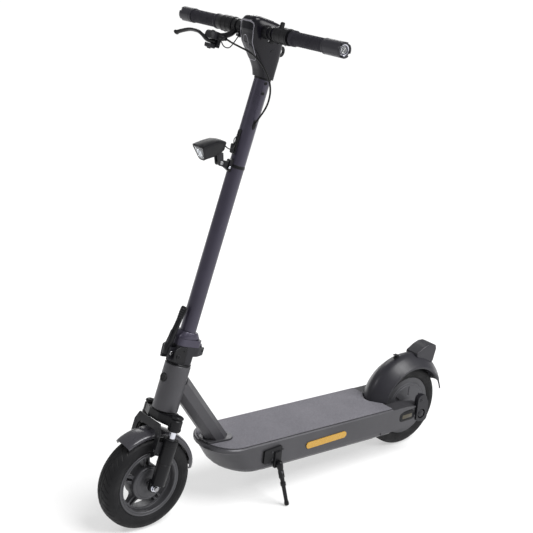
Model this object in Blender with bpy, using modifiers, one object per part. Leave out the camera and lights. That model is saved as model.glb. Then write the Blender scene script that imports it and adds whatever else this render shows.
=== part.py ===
"""Electric kick scooter: folding stem, suspension fork, hub motor in the rear wheel, battery in the deck.

Metres, +Z up, +X forward, +Y towards the rider's left. The tyres stand on z = 0 and the middle of the
overall length is at x = 0. Pieces that turn with the handlebar are placed in the steering frame, whose
origin is the front axle, whose local Z runs up the steering axis and whose local X points forward.
"""

from math import atan2, cos, pi, radians, sin, sqrt

import bmesh
import bpy
from mathutils import Matrix, Vector

# Driving dimensions
GAP = 0.0003
WHEELBASE = 0.922
TYRE_RADIUS = 0.1275
TYRE_HALF_WIDTH = 0.0315
TREAD_HALF_WIDTH = 0.0135
RIM_RADIUS = 0.0888
RIM_HALF_WIDTH = 0.027
FRONT_AXLE = Vector((0.4755, 0, TYRE_RADIUS))
REAR_AXLE = FRONT_AXLE - Vector((WHEELBASE, 0, 0))

RAKE = radians(16.24)
FORK_HALF_SPREAD = 0.057
SLEEVE_RADIUS = 0.0195
STANCHION_RADIUS = 0.0095
HEAD_TUBE_RADIUS = 0.0335
HEAD_TUBE_BOTTOM = 0.192
HEAD_TUBE_TOP = 0.317

FOLD_PIN = Vector((-0.047, 0, 0.360))
FOLD_SPLIT = 0.3673
LATCH_PIN = Vector((0.045, 0, 0.345))
STEM_RADIUS = 0.0205
STEM_WALL = 0.003
STEM_TOP = 1.054
BAR_CENTRE = Vector((0.0545, 0, 1.158))
BAR_RADIUS = 0.011
BAR_HALF_LENGTH = 0.305
GRIP_RADIUS = 0.0165
LEVER_PIVOT = Vector((0.0920, -0.1200, 1.1140))
BUTTON_REST = Vector((0.0272, 0.0950, 1.1600))

DECK_SLOPE = 0.0372
DECK_TOP = 0.1785
DECK_DEPTH = 0.079
DECK_HALF_WIDTH = 0.0893
DECK_NOSE = 0.287
DECK_NOSE_LENGTH = 0.078
COVER_THICKNESS = 0.0035
MAT_THICKNESS = 0.0025
NECK_ANGLE = radians(54.5)
FENDER_CENTRE = REAR_AXLE + Vector((-0.008, 0, 0.0055))
FENDER_RADIUS = 0.153
KICKSTAND_PIVOT = Vector((0.112, 0.106, 0.120))
KICKSTAND_FOOT = Vector((0.094, 0.128, 0.0075))

ALONG_Y = (-pi / 2, 0, 0)
SIDE_VIEW = (pi / 2, 0, 0)
END_VIEW = (pi / 2, 0, pi / 2)
ALONG_X = (0, pi / 2, 0)

parts = bpy.data.collections.new("electric_kick_scooter")
cutters = bpy.data.collections.new("cutters")


def clear_scene():
    for obj in list(bpy.data.objects):
        bpy.data.objects.remove(obj)
    for collection in (parts, cutters):
        bpy.context.scene.collection.children.link(collection)


# Materials


def material(name, color, roughness, metallic=0.0, alpha=1.0):
    made = bpy.data.materials.new(name)
    made.use_nodes = True
    shader = made.node_tree.nodes["Principled BSDF"]
    shader.inputs["Base Color"].default_value = (*color, 1)
    shader.inputs["Roughness"].default_value = roughness
    shader.inputs["Metallic"].default_value = metallic
    shader.inputs["Alpha"].default_value = alpha
    made.diffuse_color = (*color, alpha)
    return made


FRAME_GREY = material("frame_grey", (0.115, 0.115, 0.125), 0.5, 0.5)
STEM_PAINT = material("stem_paint", (0.055, 0.052, 0.07), 0.38, 0.5)
BLACK_PLASTIC = material("black_plastic", (0.013, 0.013, 0.014), 0.45)
GLOSS_BLACK = material("gloss_black", (0.006, 0.006, 0.008), 0.12)
GREY_PLASTIC = material("grey_plastic", (0.05, 0.05, 0.053), 0.4)
CHROME = material("chrome", (0.75, 0.76, 0.78), 0.12, 1.0)
STEEL = material("steel", (0.36, 0.36, 0.37), 0.35, 1.0)
TYRE_RUBBER = material("tyre_rubber", (0.035, 0.035, 0.036), 0.85)
GRIP_RUBBER = material("grip_rubber", (0.022, 0.022, 0.024), 0.75)
MAT_RUBBER = material("mat_rubber", (0.21, 0.21, 0.225), 0.9)
AMBER = material("amber_reflector", (0.8, 0.42, 0.03), 0.25)
RED_LENS = material("red_lens", (0.45, 0.01, 0.015), 0.2)
CLEAR_LENS = material("clear_lens", (0.85, 0.87, 0.9), 0.08, 0.0, 0.4)
BATTERY_WRAP = material("battery_wrap", (0.02, 0.09, 0.22), 0.4)


# Placing and joining


def finish(obj, paint, parent=None, location=(0, 0, 0), rotation=(0, 0, 0)):
    parts.objects.link(obj)
    obj.location = location
    obj.rotation_euler = rotation
    obj.parent = parent
    if paint:
        obj.data.materials.append(paint)
    return obj


def pivot(name, parent=None, location=(0, 0, 0), rotation=(0, 0, 0)):
    obj = bpy.data.objects.new(name, None)
    parts.objects.link(obj)
    obj.empty_display_size = 0.03
    obj.location = location
    obj.rotation_euler = rotation
    obj.parent = parent
    return obj


def smooth(obj, angle=35):
    obj.data.shade_smooth()
    obj.data.set_sharp_from_angle(angle=radians(angle))


def bevel(obj, width, segments=2, angle=40):
    made = obj.modifiers.new("bevel", "BEVEL")
    made.width = width
    made.segments = segments
    made.limit_method = "ANGLE"
    made.angle_limit = radians(angle)
    return obj


def combine(target, other, operation):
    """Boolean the second object into the first, and keep it only as a hidden cutter."""
    parts.objects.unlink(other)
    cutters.objects.link(other)
    other.hide_render = True
    other.display_type = "WIRE"
    made = target.modifiers.new(operation.lower(), "BOOLEAN")
    made.operation = operation
    made.object = other
    return target


def cut(target, *others):
    for other in others:
        combine(target, other, "DIFFERENCE")
    return target


def join(target, *others):
    for other in others:
        combine(target, other, "UNION")
    return target


# Shapes


def block(name, paint, low, high, parent=None, rotation=(0, 0, 0)):
    """A box between two corners of its parent's frame."""
    low, high = Vector(low), Vector(high)
    mesh = bpy.data.meshes.new(name)
    made = bmesh.new()
    bmesh.ops.create_cube(made, size=1)
    bmesh.ops.scale(made, vec=high - low, verts=made.verts)
    made.to_mesh(mesh)
    made.free()
    return finish(bpy.data.objects.new(name, mesh), paint, parent, (low + high) / 2, rotation)


def rod(name, paint, radius, low, high, centre, parent=None, rotation=ALONG_Y, sides=24, tip=None):
    """A cylinder from low to high along its own axis through centre."""
    mesh = bpy.data.meshes.new(name)
    made = bmesh.new()
    bmesh.ops.create_cone(
        made, cap_ends=True, segments=sides, radius1=radius, radius2=tip or radius, depth=high - low
    )
    bmesh.ops.translate(made, vec=(0, 0, (low + high) / 2), verts=made.verts)
    made.to_mesh(mesh)
    made.free()
    obj = finish(bpy.data.objects.new(name, mesh), paint, parent, centre, rotation)
    smooth(obj)
    return obj


def turned(name, paint, profile, centre, parent=None, rotation=ALONG_Y, steps=40, sweep=2 * pi, ring=True):
    """A (radius, height) profile turned round the local Z axis: down the outside, then up the inside."""
    mesh = bpy.data.meshes.new(name)
    made = bmesh.new()
    corners = [made.verts.new((radius, 0, height)) for radius, height in profile]
    for first, second in zip(corners, corners[1:]):
        made.edges.new((first, second))
    if ring:
        made.edges.new((corners[-1], corners[0]))
    made.to_mesh(mesh)
    made.free()
    obj = finish(bpy.data.objects.new(name, mesh), paint, parent, centre, rotation)
    screw = obj.modifiers.new("turn", "SCREW")
    screw.axis = "Z"
    screw.angle = sweep
    screw.steps = steps
    screw.render_steps = steps
    screw.use_merge_vertices = True
    screw.merge_threshold = 0.00001
    screw.use_smooth_shade = True
    return obj


def arc(centre, radius, start, end, count):
    """Points along a circular arc, with angles in degrees."""
    angles = [radians(start + (end - start) * i / count) for i in range(count + 1)]
    return [(centre[0] + radius * cos(a), centre[1] + radius * sin(a)) for a in angles]


def rounded(corners, count=4):
    """The outline of a polygon whose (x, y, radius) corners are rounded off."""
    points = []
    for i, (x, y, radius) in enumerate(corners):
        here = Vector((x, y))
        before = Vector(corners[i - 1][:2]) - here
        after = Vector(corners[(i + 1) % len(corners)][:2]) - here
        if radius == 0:
            points.append(tuple(here))
            continue
        half = before.angle(after) / 2
        reach = radius * cos(half) / sin(half)
        middle = here + (before.normalized() + after.normalized()).normalized() * radius / sin(half)
        first = here + before.normalized() * reach - middle
        last = here + after.normalized() * reach - middle
        turn = first.angle_signed(last)
        start = atan2(first.y, first.x)
        for k in range(count + 1):
            a = start - turn * k / count
            points.append((middle.x + radius * cos(a), middle.y + radius * sin(a)))
    return points


def curve_object(name, dimensions, lines, cyclic):
    curve = bpy.data.curves.new(name, "CURVE")
    curve.dimensions = dimensions
    for line in lines:
        spline = curve.splines.new("POLY")
        spline.points.add(len(line) - 1)
        for point, place in zip(spline.points, line):
            point.co = (*place, 0, 1) if len(place) == 2 else (*place, 1)
        spline.use_cyclic_u = cyclic
    return bpy.data.objects.new(name, curve)


def as_mesh(obj, paint):
    """The curve as a mesh with its caps welded, so that it can be cut or joined."""
    bpy.context.view_layer.update()
    evaluated = obj.evaluated_get(bpy.context.evaluated_depsgraph_get())
    mesh = bpy.data.meshes.new_from_object(evaluated)
    made = bmesh.new()
    made.from_mesh(mesh)
    bmesh.ops.remove_doubles(made, verts=made.verts, dist=0.000005)
    bmesh.ops.recalc_face_normals(made, faces=made.faces)
    made.to_mesh(mesh)
    made.free()
    name, parent, location, rotation = obj.name, obj.parent, obj.location.copy(), obj.rotation_euler.copy()
    bpy.data.objects.remove(obj)
    mesh.materials.clear()
    return finish(bpy.data.objects.new(name, mesh), paint, parent, location, rotation)


def plate(name, paint, lines, low, high, parent=None, location=(0, 0, 0), rotation=(0, 0, 0)):
    """A flat outline (and its holes) given a thickness from low to high along its own Z."""
    if not isinstance(lines[0], list):
        lines = [lines]
    obj = curve_object(name, "2D", lines, cyclic=True)
    obj.data.fill_mode = "BOTH"
    obj.data.extrude = (high - low) / 2
    finish(obj, None, parent, location, rotation)
    made = as_mesh(obj, paint)
    made.data.transform(Matrix.Translation((0, 0, (low + high) / 2)))
    return made


def tube(name, paint, points, radius, parent=None, resolution=2):
    obj = curve_object(name, "3D", [points], cyclic=False)
    obj.data.bevel_depth = radius
    obj.data.bevel_resolution = resolution
    obj.data.use_fill_caps = True
    return finish(obj, paint, parent)



def smooth_route(points, spacing):
    """Points spaced evenly on a smooth curve through the route's own points."""
    ends = [2 * points[0] - points[1], *points, 2 * points[-1] - points[-2]]
    fine = []
    for a, b, c, d in zip(ends, ends[1:], ends[2:], ends[3:]):
        for k in range(24):
            t = k / 24
            bend = (2 * a - 5 * b + 4 * c - d) * t * t + (3 * b - 3 * c + d - a) * t ** 3
            fine.append(b + ((c - a) * t + bend) / 2)
    fine.append(points[-1])
    route = [fine[0]]
    for point in fine:
        if (point - route[-1]).length >= spacing:
            route.append(point)
    route[-1] = fine[-1]
    return route


# Wheels


def tyre(name, parent, lean):
    """A tubeless tyre: an open C in section, with a flat tread that it stands on."""
    wall = 0.007
    steps = 48
    tread = TYRE_RADIUS / cos(pi / steps)
    outside = [
        (tread, TREAD_HALF_WIDTH),
        (TYRE_RADIUS - 0.0035, 0.0205),
        (TYRE_RADIUS - 0.0110, 0.0280),
        (TYRE_RADIUS - 0.0205, TYRE_HALF_WIDTH),
        (TYRE_RADIUS - 0.0300, 0.0300),
        (RIM_RADIUS + 0.0008, 0.0262),
        (RIM_RADIUS + 0.0006, 0.0233),
        (RIM_RADIUS - 0.0075, 0.0233),
        (RIM_RADIUS - 0.0075, 0.0180),
    ]
    inside = [
        (RIM_RADIUS + 0.0040, 0.0190),
        (TYRE_RADIUS - 0.0200, 0.0240),
        (TYRE_RADIUS - wall - 0.0040, 0.0190),
        (TYRE_RADIUS - wall, TREAD_HALF_WIDTH - 0.003),
    ]
    far_side = [(radius, -y) for radius, y in outside + inside]
    loop = outside[::-1] + far_side + inside[::-1]
    flat_down = (-pi / 2, lean + pi / steps, 0)
    return turned(name, TYRE_RUBBER, loop, (0, 0, 0), parent, flat_down, steps)


def rim_lips():
    """The bead seats and the two lips, from the left lip down to the right lip."""
    seat = RIM_RADIUS - 0.0079
    left = [(RIM_RADIUS, RIM_HALF_WIDTH), (RIM_RADIUS, 0.0237), (seat, 0.0237)]
    return left + [(radius, -y) for radius, y in left[::-1]]


def front_wheel(axis):
    tyre("front_tyre", axis, RAKE)
    inner = [(0.0775, 0.0270), (0.0765, 0.0140), (0.0700, 0.0100)]
    far_side = [(radius, -y) for radius, y in inner[::-1]]
    rim = turned(
        "front_rim", FRAME_GREY, inner[:1] + rim_lips() + far_side + inner[:0:-1], (0, 0, 0), axis,
        steps=48,
    )
    hub_radius = 0.0464
    hub_profile = [
        (0.0066, 0.0245), (0.043, 0.0245), (hub_radius, 0.022), (hub_radius, -0.022), (0.043, -0.0245),
    ]
    hub = turned("front_hub", FRAME_GREY, hub_profile + [(0.0066, -0.0245)], (0, 0, 0), axis, steps=32)
    mesh = bpy.data.meshes.new("spokes")
    made = bmesh.new()
    for k in range(5):
        for side in (-1, 1):
            spoke = bmesh.ops.create_cube(made, size=1)["verts"]
            bmesh.ops.scale(made, vec=(0.030, 0.012, 0.006), verts=spoke)
            bmesh.ops.translate(made, vec=(0.0585, 0, side * 0.0065), verts=spoke)
            turn = Matrix.Rotation(radians(72 * k + 20), 3, "Y")
            bmesh.ops.rotate(made, cent=(0, 0, 0), matrix=turn, verts=spoke)
    made.to_mesh(mesh)
    made.free()
    spokes = finish(bpy.data.objects.new("spokes", mesh), None, axis)
    join(rim, hub, spokes)


def rear_wheel(axis):
    """A hub motor: the rim and the right side are one shell, closed on the left by a screwed cover."""
    tyre("rear_tyre", axis, 0)
    shell = [(0.0745, RIM_HALF_WIDTH), *rim_lips(), (0.0765, -0.0270), (0.0620, -0.0300), (0.0090, -0.0300)]
    turned(
        "rear_rim", FRAME_GREY, shell + [(0.0090, -0.0245), (0.0745, -0.0245)], (0, 0, 0), axis, steps=48,
    )
    cover = [(0.0090, 0.0300), (0.0620, 0.0300), (0.0742, 0.0268), (0.0742, 0.0225), (0.0090, 0.0225)]
    turned("motor_cover", FRAME_GREY, cover, (0, 0, 0), axis, steps=48)


def rear_axle():
    """The fixed axle with its stator pressed on and a nut at each end."""
    axle = rod("rear_axle", STEEL, 0.008, -0.0905, 0.0905, REAR_AXLE)
    stator = rod("stator", STEEL, 0.060, -0.0200, 0.0190, REAR_AXLE)
    nuts = [rod("nut", STEEL, 0.0125, low, low + 0.0085, REAR_AXLE, sides=6) for low in (-0.0875, 0.0790)]
    join(axle, stator, *nuts)


# Deck


def deck_outline(inset, shift, rear):
    """The deck seen from above: a half-elliptical nose and straight sides back to the rear edge."""
    half = DECK_HALF_WIDTH - inset
    start = DECK_NOSE - DECK_NOSE_LENGTH - shift
    reach = DECK_NOSE_LENGTH - inset
    turns = [radians(-90 + 180 * i / 14) for i in range(15)]
    nose = [(start + reach * cos(a), half * sin(a)) for a in turns]
    return nose + [(rear, half), (rear, -half)]


def deck_shell(deck):
    """A cast tray whose nose rakes back underneath, with an arm each side of the rear wheel."""
    levels = [
        (0, 0.003, 0.000),
        (-0.003, 0.000, 0.000),
        (-0.011, 0.000, 0.000),
        (-0.016, 0.000, 0.008),
        (-0.062, 0.000, 0.040),
        (-0.073, 0.003, 0.049),
        (-DECK_DEPTH, 0.008, 0.056),
    ]
    mesh = bpy.data.meshes.new("deck_shell")
    made = bmesh.new()
    rings = []
    for height, inset, shift in levels:
        ring = [made.verts.new((x, y, height)) for x, y in deck_outline(inset, shift, -0.345)]
        rings.append(ring)
    made.faces.new(rings[0])
    made.faces.new(rings[-1][::-1])
    count = len(rings[0])
    for upper, lower in zip(rings, rings[1:]):
        for i in range(count):
            j = (i + 1) % count
            made.faces.new((upper[i], lower[i], lower[j], upper[j]))
    made.to_mesh(mesh)
    made.free()
    shell = finish(bpy.data.objects.new("deck_shell", mesh), FRAME_GREY, deck)

    arm = rounded([
        (0.160, -0.0335, 0), (0.160, 0.0375, 0), (0.060, 0.0345, 0.04),
        (-0.018, 0.0220, 0.016), (-0.018, -0.0200, 0.016), (0.030, -0.0305, 0.03),
    ])
    for side in (-1, 1):
        low, high = sorted((-side * 0.0470, -side * (DECK_HALF_WIDTH - 0.0002)))
        join(shell, plate("arm", None, arm, low, high, None, REAR_AXLE, SIDE_VIEW))

    battery_bay = rounded([
        (0.165, 0.074, 0.03), (-0.285, 0.074, 0.01), (-0.285, -0.074, 0.01), (0.165, -0.074, 0.03),
    ])
    cut(shell, plate("battery_bay", None, battery_bay, -0.1, -0.006, deck))
    cut(shell, rod("tyre_room", None, 0.137, -0.0458, 0.0458, REAR_AXLE, sides=48))
    cut(shell, rod("axle_hole", None, 0.0083, -0.1, 0.1, REAR_AXLE, sides=16))
    for side in (-1, 1):
        y_low, y_high = sorted((side * 0.0785, side * 0.1000))
        low = REAR_AXLE + Vector((-0.030, y_low, -0.040))
        high = REAR_AXLE + Vector((0.022, y_high, 0.060))
        cut(shell, block("dropout_seat", None, low, high))
        inset = rounded([
            (0.083, -0.005, 0.012), (0.083, 0.020, 0.012), (0.0, 0.028, 0.012), (0.0, 0.003, 0.012),
        ])
        low, high = sorted((-side * (DECK_HALF_WIDTH - 0.003), -side * (DECK_HALF_WIDTH + 0.01)))
        cut(shell, plate("arm_inset", None, inset, low, high, None, REAR_AXLE, SIDE_VIEW))


def deck_inside(deck):
    low, high = -DECK_DEPTH - GAP - COVER_THICKNESS, -DECK_DEPTH - GAP
    edge = rounded([
        (0.190, 0.0775, 0.06), (-0.292, 0.0775, 0.01), (-0.292, -0.0775, 0.01), (0.190, -0.0775, 0.06),
    ])
    plate("deck_bottom_cover", BLACK_PLASTIC, edge, low, high, deck)
    bevel(
        block("battery_pack", BATTERY_WRAP, (-0.270, -0.068, -0.0770), (0.040, 0.068, -0.0090), deck),
        0.006,
    )
    bevel(block("motor_controller", STEEL, (0.055, -0.045, -0.0700), (0.145, 0.045, -0.0120), deck), 0.003)


def deck_mat(deck, neck_x):
    """The rubber mat, cut round the neck's collar and round the fender's foot."""
    mat = plate("deck_mat", MAT_RUBBER, deck_outline(0.006, 0.002, -0.343), GAP, GAP + MAT_THICKNESS, deck)
    collar = rounded(collar_outline(neck_x, 0.0006))
    foot = rounded([
        (-0.3170, 0.0110, 0.012), (-0.3350, 0.0335, 0.010), (-0.3600, 0.0610, 0),
        (-0.3600, -0.0610, 0), (-0.3350, -0.0335, 0.010), (-0.3170, -0.0110, 0.012),
    ])
    for opening in (collar, foot):
        cut(mat, plate("mat_opening", None, opening, -0.01, 0.01, deck))


def reflectors(deck):
    for name, side in (("side_reflector_left", 1), ("side_reflector_right", -1)):
        y = side * (DECK_HALF_WIDTH + 0.0004)
        low, high = sorted((-y, -y - side * 0.0022))
        shape = rounded([
            (-0.010, -0.049, 0.0095), (-0.010, -0.030, 0.0095), (-0.159, -0.025, 0.0095),
            (-0.159, -0.044, 0.0095),
        ])
        plate(name, AMBER, shape, low, high, deck, (0, 0, 0), SIDE_VIEW)


def dropout_covers():
    """An upright rounded cap over each end of the rear axle, with a hole that shows the nut."""
    for name, side in (("dropout_cover_left", 1), ("dropout_cover_right", -1)):
        shape = rounded([
            (-0.026, -0.030, 0.014), (0.020, -0.020, 0.012), (0.020, 0.058, 0.014), (-0.010, 0.062, 0.016),
            (-0.026, 0.030, 0.03),
        ])
        low, high = sorted((-side * 0.0788, -side * 0.0935))
        cover = plate(name, GREY_PLASTIC, shape, low, high, None, REAR_AXLE, SIDE_VIEW)
        cut(cover, rod("nut_room", None, 0.0150, -0.1, 0.1, REAR_AXLE, sides=20))


def fender_section(grow):
    """Half of the rear fender's outer section as (radius, y) points, from the lip to the crown."""
    shape = [(0.1175, 0.0465), (0.1240, 0.0452), (0.1375, 0.0310), (0.1462, 0.0200), (0.1515, 0.0100)]
    return [(radius + grow, y) for radius, y in shape]


def rear_fender(deck):
    """A deep blade over the rear tyre, narrowed to a tongue behind it and standing on the deck."""
    half = fender_section(0)
    profile = [*half, (FENDER_RADIUS, 0), *[(radius, -y) for radius, y in half[::-1]]]
    fender = turned(
        "rear_fender", GREY_PLASTIC, profile, FENDER_CENTRE, rotation=(-pi / 2, 0, 0), steps=26,
        sweep=-radians(166), ring=False,
    )
    shell = fender.modifiers.new("thickness", "SOLIDIFY")
    shell.thickness = 0.0028
    shell.offset = 1
    cut(fender, block("deck_clearance", None, (-0.62, -0.08, -0.12), (0.10, 0.08, 0.0008), deck))
    for side in (-1, 1):
        beside = [
            (side * y, z)
            for y, z in ((0.050, 0.100), (0.015, 0.025), (0.015, -0.100), (0.090, -0.100), (0.090, 0.100))
        ]
        cut(fender, plate("tongue_side", None, beside, -0.20, -0.07, None, FENDER_CENTRE, END_VIEW))


def tail_light():
    """The lamp hump and the hook for the folded stem, both shaped to the fender under them."""
    shape = [
        (-0.0200, 0.1460), (-0.0230, 0.1540), (-0.0480, 0.1680), (-0.0680, 0.1745), (-0.0880, 0.1735),
        (-0.1020, 0.1670),
        (-0.1060, 0.1560), (-0.0975, 0.1200), (-0.0880, 0.1050),
    ]
    housing = plate(
        "tail_light_housing", GREY_PLASTIC, shape, -0.0235, 0.0235, None, FENDER_CENTRE, SIDE_VIEW,
    )
    bevel(housing, 0.0095, 3, 60)
    hook_shape = [
        (0.0340, 0.1440), (0.0500, 0.1380), (0.0500, 0.1480), (0.0440, 0.1530), (0.0560, 0.1570),
        (0.0400, 0.1580),
    ]
    hook = plate("fender_hook", BLACK_PLASTIC, hook_shape, -0.0060, 0.0060, None, FENDER_CENTRE, SIDE_VIEW)
    half = fender_section(0.0004)
    under = [(0, 0.050), (half[0][0], 0.050), *half, (FENDER_RADIUS + 0.0004, 0)]
    profile = under + [(radius, -y) for radius, y in under[:-1][::-1]]
    for piece in (housing, hook):
        cut(piece, turned("fender_room", None, profile, FENDER_CENTRE, steps=60, ring=False))
    top, low, out = Vector((-0.1053, 0.1530)), Vector((-0.0990, 0.1262)), Vector((-0.973, -0.230))
    lens = [
        tuple(point + out * depth)
        for point, depth in ((top, 0.0004), (top, 0.0030), (low, 0.0030), (low, 0.0004))
    ]
    plate("tail_light_lens", RED_LENS, lens, -0.0135, 0.0135, None, FENDER_CENTRE, SIDE_VIEW)


# Kickstand and charging socket


def kickstand(deck, pivot_axis):
    bracket = plate("kickstand_bracket", BLACK_PLASTIC, rounded([
        (0.082, -0.058, 0.004), (0.142, -0.058, 0.004), (0.142, -0.020, 0.004), (0.082, -0.014, 0.004),
    ]), -0.0953, -0.0897, deck, (0, 0, 0), SIDE_VIEW)
    low = KICKSTAND_PIVOT + Vector((-0.0115, -0.0160, -0.0130))
    boss = block("boss", None, low, KICKSTAND_PIVOT + Vector((0.0115, -0.0058, 0.0340)))
    bevel(boss, 0.002)
    join(bracket, boss)

    knuckle = rod("kickstand_leg", BLACK_PLASTIC, 0.0105, -0.0055, 0.0055, (0, 0, 0), pivot_axis)
    run = KICKSTAND_FOOT - KICKSTAND_PIVOT
    lean = run.to_track_quat("Z", "X").to_euler()
    leg = rod("leg", None, 0.0050, 0.004, run.length, (0, 0, 0), pivot_axis, lean, sides=16)
    collar = rod(
        "collar", None, 0.0072, run.length * 0.48, run.length * 0.58, (0, 0, 0), pivot_axis, lean, sides=16,
    )
    foot = block(
        "foot", None, run + Vector((-0.008, -0.0065, -0.0070)), run + Vector((0.008, 0.0065, 0.002)),
        pivot_axis,
    )
    bevel(foot, 0.002)
    join(knuckle, leg, collar, foot)


def charging_socket(cap_axis):
    """A socket in the right side of the deck under a rubber cap that lifts on its upper edge."""
    socket = rod(
        "charge_socket", BLACK_PLASTIC, 0.0110, 0.0897, 0.0936, (0.176, 0, 0.138), None, (pi / 2, 0, 0),
        sides=20,
    )
    cut(
        socket,
        rod("socket_hole", None, 0.0060, 0.0914, 0.1000, (0.176, 0, 0.138), None, (pi / 2, 0, 0), sides=16),
    )
    cap = rod(
        "charge_cap", GRIP_RUBBER, 0.0125, 0, 0.0030, (0, 0, -0.0125), cap_axis, (pi / 2, 0, 0), sides=20,
    )
    return cap


# Neck: the head tube and the down tube are one welded piece


def collar_outline(x, margin):
    half = 0.034 + margin
    front, rear = x + 0.062 + margin, x - 0.025 - margin
    return [
        (front, half * 0.8, 0.015), (rear, half, 0.025), (rear, -half, 0.025), (front, -half * 0.8, 0.015),
    ]


def octagon(width, height, chamfer):
    across, up = width / 2, height / 2
    return [
        (-up + chamfer, -across), (up - chamfer, -across), (up, -across + chamfer), (up, across - chamfer),
        (up - chamfer, across), (-up + chamfer, across), (-up, across - chamfer), (-up, -across + chamfer),
    ]


def neck(steering, deck, foot_x):
    low, high = HEAD_TUBE_BOTTOM, HEAD_TUBE_TOP
    profile = [
        (0.0300, high), (HEAD_TUBE_RADIUS, high - 0.003), (HEAD_TUBE_RADIUS, low + 0.003), (0.0305, low),
    ]
    tube_wall = turned(
        "frame_neck", FRAME_GREY, profile + [(0.0240, low), (0.0240, high)], (0, 0, 0), steering, (0, 0, 0),
    )
    foot = deck.matrix_world @ Vector((foot_x, 0, -0.02))
    lean = (0, pi / 2 - NECK_ANGLE, 0)
    down = plate("down_tube", None, octagon(0.048, 0.054, 0.0155), 0, 0.2560, None, foot, lean)
    hollow = plate("down_tube_hollow", None, octagon(0.041, 0.047, 0.0135), -0.01, 0.2300, None, foot, lean)
    collar = plate("collar", None, rounded(collar_outline(foot_x, 0)), 0.0006, 0.0070, deck)
    join(tube_wall, down, collar)
    cut(tube_wall, hollow)
    cut(tube_wall, block("deck_clearance", None, (0.10, -0.08, -0.10), (0.34, 0.08, 0.0006), deck))
    cut(
        tube_wall,
        rod("head_bore", None, 0.0240, low - 0.01, high + 0.01, (0, 0, 0), steering, (0, 0, 0), sides=40),
    )
    for s in (low - 0.001, high - 0.0125):
        cut(
            tube_wall,
            rod("bearing_seat", None, 0.0270, s, s + 0.0135, (0, 0, 0), steering, (0, 0, 0), sides=40),
        )


def bearings(steering):
    spans = {
        "lower_headset_bearing": HEAD_TUBE_BOTTOM + 0.0004,
        "upper_headset_bearing": HEAD_TUBE_TOP - 0.0122,
    }
    for name, low in spans.items():
        high = low + 0.0116
        ring = [(0.0150, high), (0.0266, high), (0.0266, low), (0.0150, low)]
        turned(name, STEEL, ring, (0, 0, 0), steering, (0, 0, 0), steps=32)


# Fork


def fork_crown(steering):
    """The steerer tube with the two-armed crown that holds the stanchions."""
    spread = FORK_HALF_SPREAD
    shape = rounded([
        (-0.0160, -spread, 0.008), (0.0160, -spread, 0.008), (0.0310, -0.020, 0.02), (0.0310, 0.020, 0.02),
        (0.0160, spread, 0.008), (-0.0160, spread, 0.008), (-0.0310, 0.020, 0.02), (-0.0310, -0.020, 0.02),
    ])
    crown = plate("fork_crown", BLACK_PLASTIC, shape, 0.1675, 0.1895, steering)
    for side in (-1, 1):
        centre = (0, side * spread, 0)
        profile = [
            (0, 0.1905), (0.0120, 0.1900), (0.0162, 0.1850), (0.0162, 0.1590), (0.0145, 0.1565),
            (0, 0.1565),
        ]
        join(crown, turned("crown_cap", None, profile, centre, steering, (0, 0, 0), steps=24, ring=False))
        socket = rod("socket", None, STANCHION_RADIUS + GAP, 0.14, 0.182, centre, steering, (0, 0, 0))
        cut(crown, socket)
    join(crown, rod("steerer", None, 0.0144, 0.180, 0.336, (0, 0, 0), steering, (0, 0, 0)))


def fork_stanchions(steering):
    for name, side in (("fork_stanchion_left", 1), ("fork_stanchion_right", -1)):
        centre = (0, side * FORK_HALF_SPREAD, 0)
        rod(name, CHROME, STANCHION_RADIUS, 0.058, 0.1815, centre, steering, (0, 0, 0))


def fork_springs(lowers):
    for name, side in (("fork_spring_left", 1), ("fork_spring_right", -1)):
        turns, low, high, radius = 5, 0.0225, 0.0560, 0.0078
        count = turns * 10
        coil = []
        for i in range(count + 1):
            a = 2 * pi * turns * i / count
            coil.append(
                (
                    radius * cos(a), side * FORK_HALF_SPREAD + radius * sin(a),
                    low + (high - low) * i / count,
                ),
            )
        tube(name, STEEL, coil, 0.0012, lowers, resolution=0)


def fork_lowers(lowers):
    for name, side in (("fork_lower_left", 1), ("fork_lower_right", -1)):
        centre = (0, side * FORK_HALF_SPREAD, 0)
        profile = [
            (0, 0.1340), (0.0165, 0.1340), (0.0185, 0.1310), (SLEEVE_RADIUS, 0.1270),
            (SLEEVE_RADIUS, 0.1150),
            (SLEEVE_RADIUS - 0.0015, 0.0100), (0.0155, -0.0090), (0, -0.0090),
        ]
        leg = turned(name, BLACK_PLASTIC, profile, centre, lowers, (0, 0, 0), steps=24, ring=False)
        y_low, y_high = sorted((side * 0.0385, side * 0.0520))
        tip = rounded([
            (-0.014, -0.013, 0.011), (0.014, -0.013, 0.011), (0.014, 0.020, 0.003), (-0.014, 0.020, 0.003),
        ])
        join(leg, plate("dropout", None, tip, -y_high, -y_low, lowers, (0, 0, 0), SIDE_VIEW))
        cut(leg, rod("bore", None, STANCHION_RADIUS + GAP, 0.020, 0.15, centre, lowers, (0, 0, 0)))
        cut(leg, rod("axle_hole", None, 0.0063, -0.1, 0.1, (0, 0, 0), lowers, sides=16))
        flat_low, flat_high = sorted((side * 0.0480, side * 0.0900))
        cut(leg, block("nut_flat", None, (-0.030, flat_low, -0.030), (0.030, flat_high, 0.0130), lowers))


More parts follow.
